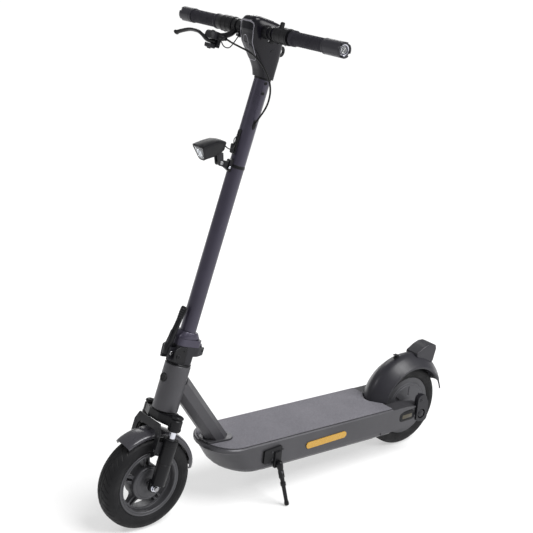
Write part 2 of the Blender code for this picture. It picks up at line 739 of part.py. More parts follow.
def fork_brace(lowers):
    """An arch in front of the crown that ties the two lowers together and carries the fender."""
    shape = [
        (-0.0570, 0.0900), (-0.0570, 0.1460), (-0.0450, 0.1690), (0.0450, 0.1690), (0.0570, 0.1460),
        (0.0570, 0.0900),
        (0.0450, 0.0790), (0.0395, 0.1370), (0.0320, 0.1475), (-0.0320, 0.1475), (-0.0395, 0.1370),
        (-0.0450, 0.0790),
    ]
    brace = plate("fork_brace", BLACK_PLASTIC, shape, -0.0025, 0.0025, lowers, (0.0372, 0, 0), END_VIEW)
    for side in (-1, 1):
        y_low, y_high = sorted((side * 0.0463, side * 0.0558))
        join(brace, block("brace_foot", None, (0.0130, y_low, 0.0960), (0.0360, y_high, 0.1240), lowers))
        centre = (0, side * FORK_HALF_SPREAD, 0)
        cut(
            brace,
            rod("leg_room", None, SLEEVE_RADIUS + GAP, 0.05, 0.15, centre, lowers, (0, 0, 0), sides=32),
        )


def front_fender(lowers):
    """A narrow blade over the front tyre."""
    half = [(0.1305, 0.0305), (0.1365, 0.0288), (0.1412, 0.0200), (0.1435, 0.0090)]
    profile = [*half, *[(radius, -y) for radius, y in half[::-1]]]
    start = (-pi / 2, -radians(43), 0)
    fender = turned(
        "front_fender", GREY_PLASTIC, profile, (0, 0, 0), lowers, start, 28, -radians(119), False,
    )
    shell = fender.modifiers.new("thickness", "SOLIDIFY")
    shell.thickness = 0.0025
    shell.offset = 1
    for side in (-1, 1):
        y_low, y_high = sorted((side * 0.0190, side * 0.0500))
        corner = block("tail_corner", None, (-0.16, y_low, -0.01), (-0.118, y_high, 0.058), lowers)
        cut(fender, corner)


def front_axle(lowers):
    axle = rod("front_axle", STEEL, 0.006, -0.0600, 0.0600, (0, 0, 0), lowers)
    nuts = [
        rod("nut", None, 0.0105, low, low + 0.0080, (0, 0, 0), lowers, sides=6) for low in (-0.0563, 0.0483)
    ]
    join(axle, *nuts)


# Folding joint


def fold_base(steering):
    """The block on the head tube: it holds the hinge pin behind and the latch lever's ears in front."""
    shape = rounded([
        (0.0330, -0.0240, 0.016), (0.0330, 0.0240, 0.016), (-0.0280, 0.0290, 0.012),
        (-0.0565, 0.0160, 0.006),
        (-0.0565, -0.0160, 0.006), (-0.0280, -0.0290, 0.012),
    ])
    base = plate("fold_base", BLACK_PLASTIC, shape, 0.3180, FOLD_SPLIT, steering)
    profile = [(0.0310, 0.3440), (0.0900, 0.3540), (0.0900, 0.3000), (0.0310, 0.3000)]
    cut(base, turned("nose_undercut", None, profile, (0, 0, 0), steering, (0, 0, 0), steps=32))
    for side in (-1, 1):
        y_low, y_high = sorted((side * 0.0091, side * 0.0160))
        join(base, block("latch_ear", None, (0.0200, y_low, 0.3270), (0.0510, y_high, 0.3590), steering))
    cut(base, rod("steerer_bore", None, 0.0147, 0.30, 0.3380, (0, 0, 0), steering, (0, 0, 0)))
    cut(base, rod("pin_bore", None, 0.0033, -0.03, 0.03, FOLD_PIN, steering, sides=16))
    cut(base, rod("latch_bore", None, 0.0028, -0.03, 0.03, LATCH_PIN, steering, sides=16))
    cut(base, rod("knuckle_room", None, 0.0098, -0.0088, 0.0088, FOLD_PIN, steering, sides=28))
    slot = block("knuckle_slot", None, (-0.0700, -0.0088, 0.3400), (-0.0470, 0.0088, 0.3800), steering)
    cut(base, slot)
    rod("fold_pin", STEEL, 0.0030, -0.0180, 0.0180, FOLD_PIN, steering, sides=16)


def fold_collar(place):
    """The foot of the stem: a flange that closes on the base, with the hinge knuckle behind it."""
    shape = rounded([
        (0.0330, -0.0240, 0.016), (0.0330, 0.0240, 0.016), (-0.0290, 0.0280, 0.012),
        (-0.0385, 0.0160, 0.006),
        (-0.0385, -0.0160, 0.006), (-0.0290, -0.0280, 0.012),
    ])
    low = FOLD_SPLIT + GAP
    hinge, offset = place
    collar = plate("fold_collar", BLACK_PLASTIC, shape, low, 0.3860, hinge, offset)
    join(
        collar,
        rod("stem_socket", None, 0.0250, 0.3750, 0.4020, offset, hinge, (0, 0, 0), sides=32, tip=0.0235),
    )
    web = [(-0.0470, 0.3670), (-0.0540, 0.3655), (-0.0500, 0.3740), (-0.0340, 0.3840), (-0.0340, 0.3677)]
    web_plate = plate("knuckle_web", None, web, -0.0083, 0.0083, hinge, offset, SIDE_VIEW)
    knuckle = rod("knuckle", None, 0.0090, -0.0083, 0.0083, (0, 0, 0), hinge, sides=24)
    join(collar, knuckle, web_plate)
    cut(collar, rod("pin_hole", None, 0.0034, -0.03, 0.03, (0, 0, 0), hinge, sides=16))
    cut(collar, rod("stem_bore", None, STEM_RADIUS + GAP, 0.3720, 0.42, offset, hinge, (0, 0, 0), sides=32))


def latch_lever(axis):
    """A long lever on the front of the joint; its head is pulled forward to free the stem."""
    side = rounded([
        (-0.0065, -0.0085, 0.005), (0.0120, -0.0085, 0.006), (0.0110, 0.0400, 0.03),
        (-0.0030, 0.0850, 0.03),
        (-0.0080, 0.1180, 0.004), (-0.0180, 0.1190, 0.003), (-0.0110, 0.0650, 0.03),
        (-0.0060, 0.0150, 0.01),
    ], 2)
    lever = plate("latch_lever", BLACK_PLASTIC, side, -0.0086, 0.0086, axis, (0, 0, 0), SIDE_VIEW)
    join(lever, block("latch_paddle", None, (-0.0170, -0.0125, 0.0920), (-0.0055, 0.0125, 0.1170), axis))
    join(lever, rod("latch_stub", None, 0.0025, -0.0140, 0.0140, (0, 0, 0), axis, sides=16))


# Stem and head


def ring(name, paint, outer, inner, low, high, place, rotation, steps=32):
    parent, centre = place
    profile = [(inner, high), (outer, high), (outer, low), (inner, low)]
    return turned(name, paint, profile, centre, parent, rotation, steps)


HEAD_LEVELS = [
    (1.0545, -0.0215, 0.0225, 0.0215),
    (1.0750, -0.0210, 0.0340, 0.0225),
    (1.1000, -0.0205, 0.0570, 0.0245),
    (1.1250, -0.0190, 0.0830, 0.0265),
    (1.1500, -0.0140, 0.0955, 0.0285),
    (1.1700, -0.0040, 0.0985, 0.0288),
    (1.1810, 0.0040, 0.0955, 0.0268),
    (1.1870, 0.0140, 0.0860, 0.0210),
]


def super_ellipse(rear, front, half_width, power, count):
    middle, reach = (rear + front) / 2, (front - rear) / 2
    points = []
    for i in range(count):
        a = 2 * pi * i / count
        c, s = cos(a), sin(a)
        x = middle + reach * abs(c) ** (2 / power) * (1 if c >= 0 else -1)
        y = half_width * abs(s) ** (2 / power) * (1 if s >= 0 else -1)
        points.append((x, y))
    return points


def lofted(name, paint, rings, parent, location):
    """A closed skin through rings of points listed from the bottom to the top."""
    mesh = bpy.data.meshes.new(name)
    made = bmesh.new()
    loops = [[made.verts.new(point) for point in ring_points] for ring_points in rings]
    made.faces.new(loops[0][::-1])
    made.faces.new(loops[-1])
    count = len(loops[0])
    for lower, upper in zip(loops, loops[1:]):
        for i in range(count):
            j = (i + 1) % count
            made.faces.new((lower[i], lower[j], upper[j], upper[i]))
    made.to_mesh(mesh)
    made.free()
    return finish(bpy.data.objects.new(name, mesh), paint, parent, location)


def head(place):
    parent, offset = place
    rings = []
    for s, rear, front, half_width in HEAD_LEVELS:
        rings.append([(x, y, s) for x, y in super_ellipse(rear, front, half_width, 2.7, 24)])
    housing = lofted("head_housing", GLOSS_BLACK, rings, parent, offset)
    smooth(housing, 50)
    spigot = rod("spigot", None, STEM_RADIUS - STEM_WALL - GAP, 1.020, 1.070, offset, parent, (0, 0, 0))
    eye = rounded([
        (-0.010, 1.114, 0.004), (-0.010, 1.142, 0.004), (-0.041, 1.138, 0.009), (-0.041, 1.118, 0.009),
    ])
    eyelet = plate("eyelet", None, eye, -0.0035, 0.0035, parent, offset, SIDE_VIEW)
    join(housing, spigot, eyelet)
    cut(
        housing,
        rod("eye", None, 0.0055, -0.01, 0.01, Vector((-0.0310, 0, 1.128)) + offset, parent, sides=16),
    )
    cut(housing, rod("bar_bore", None, BAR_RADIUS + GAP, -0.05, 0.05, BAR_CENTRE + offset, parent))

    panel = []
    for s, rear, front, half_width in HEAD_LEVELS[2:6]:
        wide = half_width * (0.45 + 0.35 * (s - 1.10) / 0.070)
        near, far = front + 0.0004, front + 0.0020
        panel.append([(near, -wide, s), (far, -wide * 0.9, s), (far, wide * 0.9, s), (near, wide, s)])
    lofted("front_panel", GLOSS_BLACK, panel, parent, offset)
    screen = rounded([
        (0.026, -0.015, 0.005), (0.076, -0.015, 0.005), (0.076, 0.015, 0.005), (0.026, 0.015, 0.005),
    ])
    plate("display", GLOSS_BLACK, screen, 1.1874, 1.1890, parent, offset)


def stem_tube(place):
    ring("stem_tube", STEM_PAINT, STEM_RADIUS, STEM_RADIUS - STEM_WALL, 0.3725, STEM_TOP, place, (0, 0, 0))


# Handlebar


def handlebar(bar):
    on_bar = (bar, (0, 0, 0))
    ring(
        "handlebar", STEM_PAINT, BAR_RADIUS, BAR_RADIUS - 0.002, -BAR_HALF_LENGTH + 0.004,
        BAR_HALF_LENGTH - 0.004, on_bar, ALONG_Y, 24,
    )
    grips = {"left": (1, 0.1270, 0.2400), "right": (-1, 0.1520, 0.2580)}
    for side_name, (side, start, end) in grips.items():
        flange = start + 0.012
        inner = BAR_RADIUS + GAP
        profile = [
            (inner, end), (GRIP_RADIUS, end), (GRIP_RADIUS, flange), (0.0190, flange), (0.0190, start),
            (inner, start),
        ]
        rotation = ALONG_Y if side > 0 else SIDE_VIEW
        turned("grip_" + side_name, GRIP_RUBBER, profile, (0, 0, 0), bar, rotation, 28)
        end += 0.0005
        close = BAR_HALF_LENGTH
        cap = [
            (inner, end), (0.0178, end), (0.0185, end + 0.004), (0.0185, close - 0.003), (0.0165, close),
            (0, close),
            (0, close - 0.0037), (inner, close - 0.0037),
        ]
        turned(
            "bar_end_light_" + side_name, GREY_PLASTIC, cap[::-1], (0, 0, 0), bar, rotation, 28, ring=True,
        )


def brake(bar, lever_axis):
    perch = ring(
        "brake_perch", BLACK_PLASTIC, 0.0180, BAR_RADIUS + GAP, -0.0880, -0.0740, (bar, (0, 0, 0)), ALONG_Y,
    )
    arm = rounded([
        (0.012, -0.0745, 0.003), (0.045, -0.0900, 0.004), (0.045, -0.1290, 0.006), (0.030, -0.1290, 0.006),
        (0.026, -0.0980, 0.004), (0.012, -0.0875, 0.003),
    ])
    arm_plate = plate("perch_arm", None, arm, -0.0500, -0.0400, bar)
    riser = block("perch_riser", None, (0.0100, -0.0875, -0.0490), (0.0200, -0.0745, -0.0080), bar)
    join(perch, riser, arm_plate)
    pin = LEVER_PIVOT - BAR_CENTRE
    cut(
        perch,
        rod("lever_pin_hole", None, 0.0030, -0.06, 0.06, (pin.x, pin.y, 0), bar, (0, 0, 0), sides=16),
    )

    blade = rounded([
        (-0.0070, 0.0060, 0.005), (0.0080, 0.0070, 0.006), (0.0110, -0.0300, 0.02), (0.0080, -0.0900, 0.05),
        (0.0130, -0.1480, 0.006), (0.0030, -0.1490, 0.005), (-0.0020, -0.0850, 0.05),
        (-0.0060, -0.0300, 0.02),
    ])
    lever = plate("brake_lever", BLACK_PLASTIC, blade, -0.0140, -0.0065, lever_axis)
    join(lever, rod("lever_pin", None, 0.0027, -0.0080, 0.0035, (0, 0, 0), lever_axis, (0, 0, 0), sides=16))


def throttle(bar, axis):
    ring(
        "throttle_housing", BLACK_PLASTIC, 0.0195, BAR_RADIUS + GAP, -0.1350, -0.0890, (bar, (0, 0, 0)),
        ALONG_Y,
    )
    paddle = ring(
        "throttle_paddle", GREY_PLASTIC, 0.0185, BAR_RADIUS + 0.0006, -0.1500, -0.1360, (axis, (0, 0, 0)),
        ALONG_Y,
    )
    join(paddle, block("paddle_arm", None, (-0.0290, -0.1500, -0.0120), (-0.0150, -0.1380, 0.0000), axis))
    join(paddle, block("paddle_pad", None, (-0.0310, -0.1750, -0.0180), (-0.0250, -0.1380, -0.0010), axis))


def switches(bar, bell_axis, button_place):
    housing = ring(
        "switch_housing", BLACK_PLASTIC, 0.0195, BAR_RADIUS + GAP, 0.0720, 0.1200, (bar, (0, 0, 0)),
        ALONG_Y,
    )
    pod = block("switch_pod", None, (-0.0240, 0.0780, -0.0080), (-0.0140, 0.1120, 0.0120), bar)
    join(housing, pod)
    cut(
        housing,
        rod("button_well", None, 0.0062, -0.0300, -0.0190, (0, 0.0950, 0.0020), bar, ALONG_X, sides=20),
    )
    rod("power_button", GREY_PLASTIC, 0.0058, 0, 0.0055, (0, 0, 0), button_place, ALONG_X, sides=20)
    bell = block(
        "bell_lever", BLACK_PLASTIC, (-0.0020, -0.0080, 0.0000), (0.0020, 0.0080, 0.0240), bell_axis,
    )
    bevel(bell, 0.0015)


# Lamp and brake cable


def lamp(place, axis):
    parent, offset = place
    arm = rounded([
        (0.0209, 0.8130, 0), (0.0209, 0.8470, 0), (0.0330, 0.8380, 0.006), (0.0630, 0.8370, 0.006),
        (0.0630, 0.8240, 0.006), (0.0400, 0.8210, 0.006),
    ])
    plate("lamp_bracket", BLACK_PLASTIC, arm, -0.0042, 0.0042, parent, offset, SIDE_VIEW)
    body = rounded([
        (-0.0090, 0.0300, 0.004), (-0.0070, 0.0520, 0.008), (0.0200, 0.0570, 0.02), (0.0690, 0.0455, 0.002),
        (0.0670, 0.0400, 0.001), (0.0520, 0.0110, 0.004), (0.0260, 0.0140, 0.010), (0.0020, 0.0230, 0.006),
    ])
    housing = plate("lamp_housing", BLACK_PLASTIC, body, -0.0230, 0.0230, axis, (0, 0, 0), SIDE_VIEW)
    bevel(housing, 0.005)
    for side in (-1, 1):
        low, high = sorted((-side * 0.0046, -side * 0.0085))
        cheek = rounded([
            (-0.0070, -0.0070, 0.006), (0.0070, -0.0070, 0.006), (0.0130, 0.0340, 0), (-0.0040, 0.0340, 0),
        ])
        join(housing, plate("cheek", None, cheek, low, high, axis, (0, 0, 0), SIDE_VIEW))
    lens = [(0.0672, 0.0392), (0.0694, 0.0380), (0.0552, 0.0114), (0.0530, 0.0126)]
    plate("lamp_lens", CLEAR_LENS, lens, -0.0200, 0.0200, axis, (0, 0, 0), SIDE_VIEW)


def brake_cable(place):
    """From the lever's adjuster round the front of the head to the left side of the stem."""
    parent, offset = place
    route = [
        (0.0870, -0.0700, 1.1175), (0.0885, -0.0450, 1.1110), (0.0870, -0.0100, 1.1070),
        (0.0800, 0.0140, 1.1045),
        (0.0680, 0.0280, 1.0995), (0.0500, 0.0395, 1.0870), (0.0300, 0.0500, 1.0650),
        (0.0170, 0.0555, 1.0450),
        (0.0120, 0.0555, 1.0300), (0.0100, 0.0600, 1.0080), (0.0100, 0.0565, 0.9900),
        (0.0110, 0.0520, 0.9770),
        (0.0110, 0.0420, 0.9620), (0.0060, 0.0310, 0.9500), (0.0020, 0.0235, 0.9440),
    ]
    points = [Vector(point) + Vector(offset) for point in route]
    tube("brake_cable", GRIP_RUBBER, smooth_route(points, 0.011), 0.0025, parent)




def main():
    clear_scene()
    deck = pivot("deck_frame", None, ((FRONT_AXLE.x + REAR_AXLE.x) / 2, 0, DECK_TOP), (0, -DECK_SLOPE, 0))
    steering = pivot("steering_axis", None, FRONT_AXLE, (0, -RAKE, 0))
    lowers = pivot("fork_slide_axis", steering)
    hinge = pivot("fold_axis", steering, FOLD_PIN)
    bar = pivot("bar_axis", hinge, BAR_CENTRE - FOLD_PIN)
    lever_axis = pivot("brake_lever_axis", hinge, LEVER_PIVOT - FOLD_PIN)
    throttle_axis = pivot("throttle_axis", bar)
    bell_axis = pivot("bell_axis", bar, (0.0100, 0.0900, 0.0182))
    button = pivot("button_axis", hinge, BUTTON_REST - FOLD_PIN)
    lamp_axis = pivot("lamp_axis", hinge, Vector((0.0560, 0, 0.8305)) - FOLD_PIN, (0, RAKE, 0))
    latch_axis = pivot("latch_axis", steering, LATCH_PIN)
    front_spin = pivot("front_wheel_axis", lowers)
    rear_spin = pivot("rear_wheel_axis", None, REAR_AXLE)
    stand_axis = pivot("kickstand_axis", None, KICKSTAND_PIVOT)
    cap_axis = pivot("charge_cap_axis", None, (0.176, -0.0940, 0.1505))
    bpy.context.view_layer.update()

    stem_place = (hinge, -FOLD_PIN)
    neck_x = 0.218
    front_wheel(front_spin)
    rear_wheel(rear_spin)
    rear_axle()
    deck_shell(deck)
    deck_inside(deck)
    deck_mat(deck, neck_x)
    reflectors(deck)
    dropout_covers()
    rear_fender(deck)
    tail_light()
    kickstand(deck, stand_axis)
    charging_socket(cap_axis)
    neck(steering, deck, neck_x)
    bearings(steering)
    fork_crown(steering)
    fork_stanchions(steering)
    fork_springs(lowers)
    fork_lowers(lowers)
    fork_brace(lowers)
    front_fender(lowers)
    front_axle(lowers)
    fold_base(steering)
    fold_collar(stem_place)
    latch_lever(latch_axis)
    stem_tube(stem_place)
    head(stem_place)
    handlebar(bar)
    brake(bar, lever_axis)
    throttle(bar, throttle_axis)
    switches(bar, bell_axis, button)
    lamp(stem_place, lamp_axis)
    brake_cable(stem_place)


main()
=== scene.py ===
"""Looks of the electric kick scooter: camera, light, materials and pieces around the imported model."""

from math import cos, hypot, pi, radians, sin, sqrt

import bmesh
import bpy
from mathutils import Matrix, Vector
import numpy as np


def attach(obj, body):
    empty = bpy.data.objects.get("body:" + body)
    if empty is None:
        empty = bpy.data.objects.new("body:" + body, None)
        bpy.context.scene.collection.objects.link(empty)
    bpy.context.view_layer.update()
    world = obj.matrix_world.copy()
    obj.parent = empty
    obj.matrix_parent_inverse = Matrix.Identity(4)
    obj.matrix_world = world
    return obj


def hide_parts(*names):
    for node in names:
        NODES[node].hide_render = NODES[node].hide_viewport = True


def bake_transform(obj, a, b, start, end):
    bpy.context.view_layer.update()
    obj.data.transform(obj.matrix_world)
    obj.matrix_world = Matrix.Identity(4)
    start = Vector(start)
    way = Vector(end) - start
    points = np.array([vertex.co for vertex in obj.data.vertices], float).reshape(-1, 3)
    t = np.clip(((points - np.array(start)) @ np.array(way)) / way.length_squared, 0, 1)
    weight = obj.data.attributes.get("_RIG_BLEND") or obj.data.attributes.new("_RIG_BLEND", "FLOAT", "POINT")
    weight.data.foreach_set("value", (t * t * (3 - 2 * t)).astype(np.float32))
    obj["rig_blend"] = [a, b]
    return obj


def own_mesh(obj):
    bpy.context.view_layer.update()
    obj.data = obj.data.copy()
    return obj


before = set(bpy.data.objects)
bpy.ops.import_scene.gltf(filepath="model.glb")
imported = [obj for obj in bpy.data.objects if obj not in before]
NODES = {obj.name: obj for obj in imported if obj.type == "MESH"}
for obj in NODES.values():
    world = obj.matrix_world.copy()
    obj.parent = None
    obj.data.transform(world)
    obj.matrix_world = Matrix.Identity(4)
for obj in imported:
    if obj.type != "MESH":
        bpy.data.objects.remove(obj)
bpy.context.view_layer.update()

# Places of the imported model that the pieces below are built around, in metres. Points that go through
# STEER are (forward of the steering axis, left, up along it); those through DECK are on the deck's slope.
FRONT_AXLE = Vector((0.4755, 0, 0.1275))
REAR_AXLE = Vector((-0.4465, 0, 0.1275))
RAKE = radians(16.24)
STEER = Matrix.Translation(FRONT_AXLE) @ Matrix.Rotation(-RAKE, 4, "Y")
DECK = Matrix.Translation((0.0145, 0, 0.1785)) @ Matrix.Rotation(-0.0372, 4, "Y")
BAR = Vector((0.0545, 0, 1.158))
FENDER_CENTRE = Vector((-0.4545, 0, 0.133))
LAMP_AXIS = STEER @ Vector((0.056, 0, 0.8305))
STAND_PIVOT = Vector((0.112, 0.106, 0.120))
STAND_FOOT = Vector((0.094, 0.128, 0.0075))
LEG_Y = 0.057
BAR_END = 0.3048
BAR_RADIUS = 0.0112


# Camera and light


def add_camera():
    data = bpy.data.cameras.new("camera")
    data.sensor_width = 36
    data.lens = 79.48
    data.clip_start = 0.05
    camera = bpy.data.objects.new("camera", data)
    bpy.context.scene.collection.objects.link(camera)
    camera.matrix_world = Matrix((
        (-0.7738, -0.1439, 0.6170, 2.0025),
        (0.6290, -0.2891, 0.7216, 2.2000),
        (0.0745, 0.9465, 0.3142, 1.6050),
        (0, 0, 0, 1),
    ))
    bpy.context.scene.camera = camera


def add_light(name, place, target, size, power, color=(1, 1, 1)):
    data = bpy.data.lights.new(name, "AREA")
    data.shape = "DISK"
    data.size = size
    data.energy = power
    data.color = color
    light = bpy.data.objects.new(name, data)
    bpy.context.scene.collection.objects.link(light)
    light.location = place
    light.rotation_mode = "QUATERNION"
    light.rotation_quaternion = (Vector(target) - Vector(place)).to_track_quat("-Z", "Y")


def add_studio():
    world = bpy.data.worlds.new("studio")
    world.use_nodes = True
    world.node_tree.nodes["Background"].inputs["Color"].default_value = (1, 1, 1, 1)
    world.node_tree.nodes["Background"].inputs["Strength"].default_value = 0.36
    bpy.context.scene.world = world
    bpy.context.scene.view_settings.view_transform = "Standard"
    sun = bpy.data.lights.new("soft_sun", "SUN")
    sun.energy = 2.7
    sun.angle = radians(34)
    lamp = bpy.data.objects.new("soft_sun", sun)
    bpy.context.scene.collection.objects.link(lamp)
    lamp.rotation_euler = (radians(-30), radians(-14), 0)
    add_light("key", (-2.1, 2.6, 2.0), (0, 0, 0.45), 1.6, 42)
    add_light("front", (2.6, -0.9, 2.6), (0.3, 0, 0.5), 0.8, 16)
    add_light("back", (-1.6, -2.8, 2.0), (0, 0, 0.5), 1.8, 26)
    mesh = bpy.data.meshes.new("floor")
    bm = bmesh.new()
    bmesh.ops.create_grid(bm, x_segments=8, y_segments=8, size=60)
    bm.to_mesh(mesh)
    bm.free()
    floor = bpy.data.objects.new("floor", mesh)
    bpy.context.scene.collection.objects.link(floor)
    mesh.materials.append(floor_paint())


# Materials


class Graph:
    """A material's node tree, with the Principled shader at its end."""

    def __init__(self, name):
        self.material = bpy.data.materials.new(name)
        self.material.use_nodes = True
        self.tree = self.material.node_tree
        self.shader = self.tree.nodes["Principled BSDF"]
        self.place = self.add("ShaderNodeTexCoord").outputs["Object"]

    def add(self, kind, **settings):
        node = self.tree.nodes.new(kind)
        for key, value in settings.items():
            setattr(node, key, value)
        return node

    def link(self, source, target):
        self.tree.links.new(source, target)

    def noise(self, scale, detail=3.0, stretch=None):
        node = self.add("ShaderNodeTexNoise")
        node.inputs["Scale"].default_value = scale
        node.inputs["Detail"].default_value = detail
        self.link(self.stretched(stretch), node.inputs["Vector"])
        return node.outputs["Fac"]

    def cells(self, scale, feature="F1"):
        node = self.add("ShaderNodeTexVoronoi", feature=feature)
        node.inputs["Scale"].default_value = scale
        self.link(self.place, node.inputs["Vector"])
        return node

    def stretched(self, stretch):
        if stretch is None:
            return self.place
        node = self.add("ShaderNodeMapping")
        node.inputs["Scale"].default_value = stretch
        self.link(self.place, node.inputs["Vector"])
        return node.outputs["Vector"]

    def ranged(self, value, low, high, to_low, to_high):
        node = self.add("ShaderNodeMapRange")
        for key, number in (("From Min", low), ("From Max", high), ("To Min", to_low), ("To Max", to_high)):
            node.inputs[key].default_value = number
        self.link(value, node.inputs["Value"])
        return node.outputs["Result"]

    def maths(self, operation, first, second):
        node = self.add("ShaderNodeMath", operation=operation)
        for socket, value in zip(node.inputs, (first, second)):
            if isinstance(value, (int, float)):
                socket.default_value = value
            else:
                self.link(value, socket)
        return node.outputs[0]

    def mixed(self, factor, first, second):
        node = self.add("ShaderNodeMix", data_type="RGBA")
        self.link(factor, node.inputs["Factor"])
        for socket, value in ((node.inputs[6], first), (node.inputs[7], second)):
            if isinstance(value, tuple):
                socket.default_value = (*value, 1)
            else:
                self.link(value, socket)
        return node.outputs[2]

    def edges(self, radius, low, high):
        """1 on outward edges and corners, 0 on flat faces."""
        node = self.add("ShaderNodeBevel", samples=4)
        node.inputs["Radius"].default_value = radius
        normal = self.add("ShaderNodeNewGeometry").outputs["Normal"]
        dot = self.add("ShaderNodeVectorMath", operation="DOT_PRODUCT")
        self.link(node.outputs[0], dot.inputs[0])
        self.link(normal, dot.inputs[1])
        return self.ranged(dot.outputs["Value"], high, low, 0, 1)

    def bump(self, height, strength, distance, after=None):
        node = self.add("ShaderNodeBump")
        node.inputs["Strength"].default_value = strength
        node.inputs["Distance"].default_value = distance
        self.link(height, node.inputs["Height"])
        if after is not None:
            self.link(after, node.inputs["Normal"])
        return node.outputs["Normal"]

    def set(self, **values):
        for key, value in values.items():
            socket = self.shader.inputs[key.replace("_", " ")]
            if isinstance(value, tuple):
                socket.default_value = (*value, 1)
            elif isinstance(value, (int, float)):
                socket.default_value = value
            else:
                self.link(value, socket)


def shade(color, factor):
    return tuple(channel * factor for channel in color)


def paint(name, color, roughness, metallic=0.0, grain=(900, 0.12), edge_wear_and_highlight=0.35, coat=0.0, spread=0.16,
          vary=0.07, shine=0.30):
    """Painted metal or moulded plastic: a slow drift of tone, a fine grain, and edges rubbed lighter, which
    where turned up strong is a painted highlight.
    """
    g = Graph(name)
    slow = g.noise(5.5, 4)
    fine = g.noise(grain[0], 2)
    smudge = g.noise(38, 5)
    body = g.mixed(g.ranged(slow, 0.3, 0.7, 0, 1), shade(color, 1 - spread), shade(color, 1 + spread))
    speck = g.mixed(g.ranged(fine, 0.35, 0.7, 0, 0.5), body, shade(color, 1.25))
    # Lighter edges under a broken mask: rubbed wear, and where the amount is high, as on the brace, a
    # painted highlight.
    rub = g.maths("MULTIPLY", g.edges(0.0009, 0.90, 0.995), g.ranged(g.noise(140, 4), 0.42, 0.62, 0, edge_wear_and_highlight))
    light = tuple(min(1.0, channel * 1.6 + 0.03) for channel in color)
    g.set(
        Base_Color=g.mixed(rub, speck, light),
        Roughness=g.ranged(smudge, 0.25, 0.75, roughness - vary, roughness + vary),
        Metallic=metallic,
        Specular_IOR_Level=shine,
        Coat_Weight=coat,
        Coat_Roughness=0.18,
        Normal=g.bump(fine, grain[1], 0.0002),
    )
    return g.material


def metal(name, color, roughness, brushed=None, grain=0.10):
    g = Graph(name)
    scratch = g.noise(260, 3, brushed or (1, 1, 1))
    stain = g.noise(30, 4)
    g.set(
        Base_Color=g.mixed(g.ranged(stain, 0.3, 0.7, 0, 1), shade(color, 0.82), color),
        Roughness=g.ranged(scratch, 0.3, 0.7, max(0.03, roughness - 0.05), roughness + 0.09),
        Metallic=1.0,
        Normal=g.bump(scratch, grain, 0.0001),
    )
    return g.material


def rubber(name, color, roughness=0.8, dust=0.25, grain=(1400, 0.35)):
    g = Graph(name)
    fine = g.noise(grain[0], 3)
    powder = g.noise(24, 6)
    base = g.mixed(g.ranged(powder, 0.45, 0.75, 0, dust), color, tuple(c * 0.8 + 0.05 for c in color))
    rub = g.maths("MULTIPLY", g.edges(0.0012, 0.88, 0.99), g.ranged(g.noise(80, 3), 0.3, 0.7, 0.1, 0.5))
    g.set(
        Base_Color=g.mixed(rub, base, tuple(c * 1.3 + 0.015 for c in color)),
        Roughness=g.ranged(g.noise(60, 4), 0.3, 0.7, roughness - 0.12, min(1.0, roughness + 0.1)),
        Specular_IOR_Level=0.22,
        Normal=g.bump(fine, grain[1], 0.0002),
    )
    return g.material


def grit_paint():
    """Grip tape rubber on the deck: dark base, lighter mineral grains of about a millimetre, faint wear."""
    g = Graph("deck_grit")
    grains = g.cells(760)
    fine = g.noise(1900, 4)
    patch = g.noise(9, 5)
    tone = g.mixed(g.ranged(patch, 0.3, 0.7, 0, 1), (0.128, 0.125, 0.143), (0.176, 0.171, 0.192))
    bright = g.ranged(grains.outputs["Color"], 0.40, 0.90, 0, 0.55)
    speck = g.mixed(bright, tone, (0.30, 0.295, 0.325))
    dark = g.ranged(grains.outputs["Distance"], 0.25, 0.75, 0, 0.50)
    height = g.maths("SUBTRACT", fine, grains.outputs["Distance"])
    g.set(
        Base_Color=g.mixed(dark, speck, (0.070, 0.068, 0.078)),
        Roughness=g.ranged(fine, 0.3, 0.7, 0.72, 0.95),
        Normal=g.bump(height, 0.75, 0.0006),
    )
    return g.material


def reflector_paint(name, color, deep, roughness=0.22):
    """Moulded prism plastic behind a glossy skin, with a faint emission that paints a glow."""
    g = Graph(name)
    prisms = g.cells(430)
    g.set(
        Base_Color=g.mixed(g.ranged(prisms.outputs["Distance"], 0.1, 0.7, 0, 0.55), color, deep),
        Roughness=g.ranged(g.noise(90, 3), 0.3, 0.7, roughness - 0.05, roughness + 0.1),
        Coat_Weight=0.5,
        Coat_Roughness=0.10,
        # A faint emission in the lens colour: a painted glow, also on the amber side reflectors, which are
        # no lamps.
        Emission_Color=color,
        Emission_Strength=0.02,
        Normal=g.bump(prisms.outputs["Distance"], 0.45, 0.0006),
    )
    return g.material


def lens_paint(name, color=(0.92, 0.94, 0.96)):
    g = Graph(name)
    g.set(
        Base_Color=color,
        Roughness=g.ranged(g.noise(120, 3), 0.3, 0.7, 0.02, 0.08),
        Transmission_Weight=0.92,
        IOR=1.49,
        Normal=g.bump(g.noise(60, 2), 0.05, 0.0002),
    )
    return g.material


def screen_paint():
    g = Graph("display_glass")
    g.set(
        Base_Color=g.mixed(
            g.ranged(g.noise(30, 3), 0.3, 0.7, 0, 1), (0.004, 0.004, 0.006), (0.010, 0.010, 0.014),
        ),
        Roughness=g.ranged(g.noise(50, 5), 0.3, 0.7, 0.08, 0.20), Specular_IOR_Level=0.25, Coat_Weight=0.15,
        Coat_Roughness=0.05,
    )
    return g.material


def floor_paint():
    g = Graph("studio_floor")
    g.set(
        Base_Color=g.mixed(g.noise(2.0, 3), (0.50, 0.50, 0.50), (0.52, 0.52, 0.52)),
        Emission_Color=(1, 1, 1),
        Emission_Strength=0.48,
        Roughness=g.ranged(g.noise(30, 3), 0.3, 0.7, 0.75, 0.9),
        Specular_IOR_Level=0.2,
    )
    return g.material


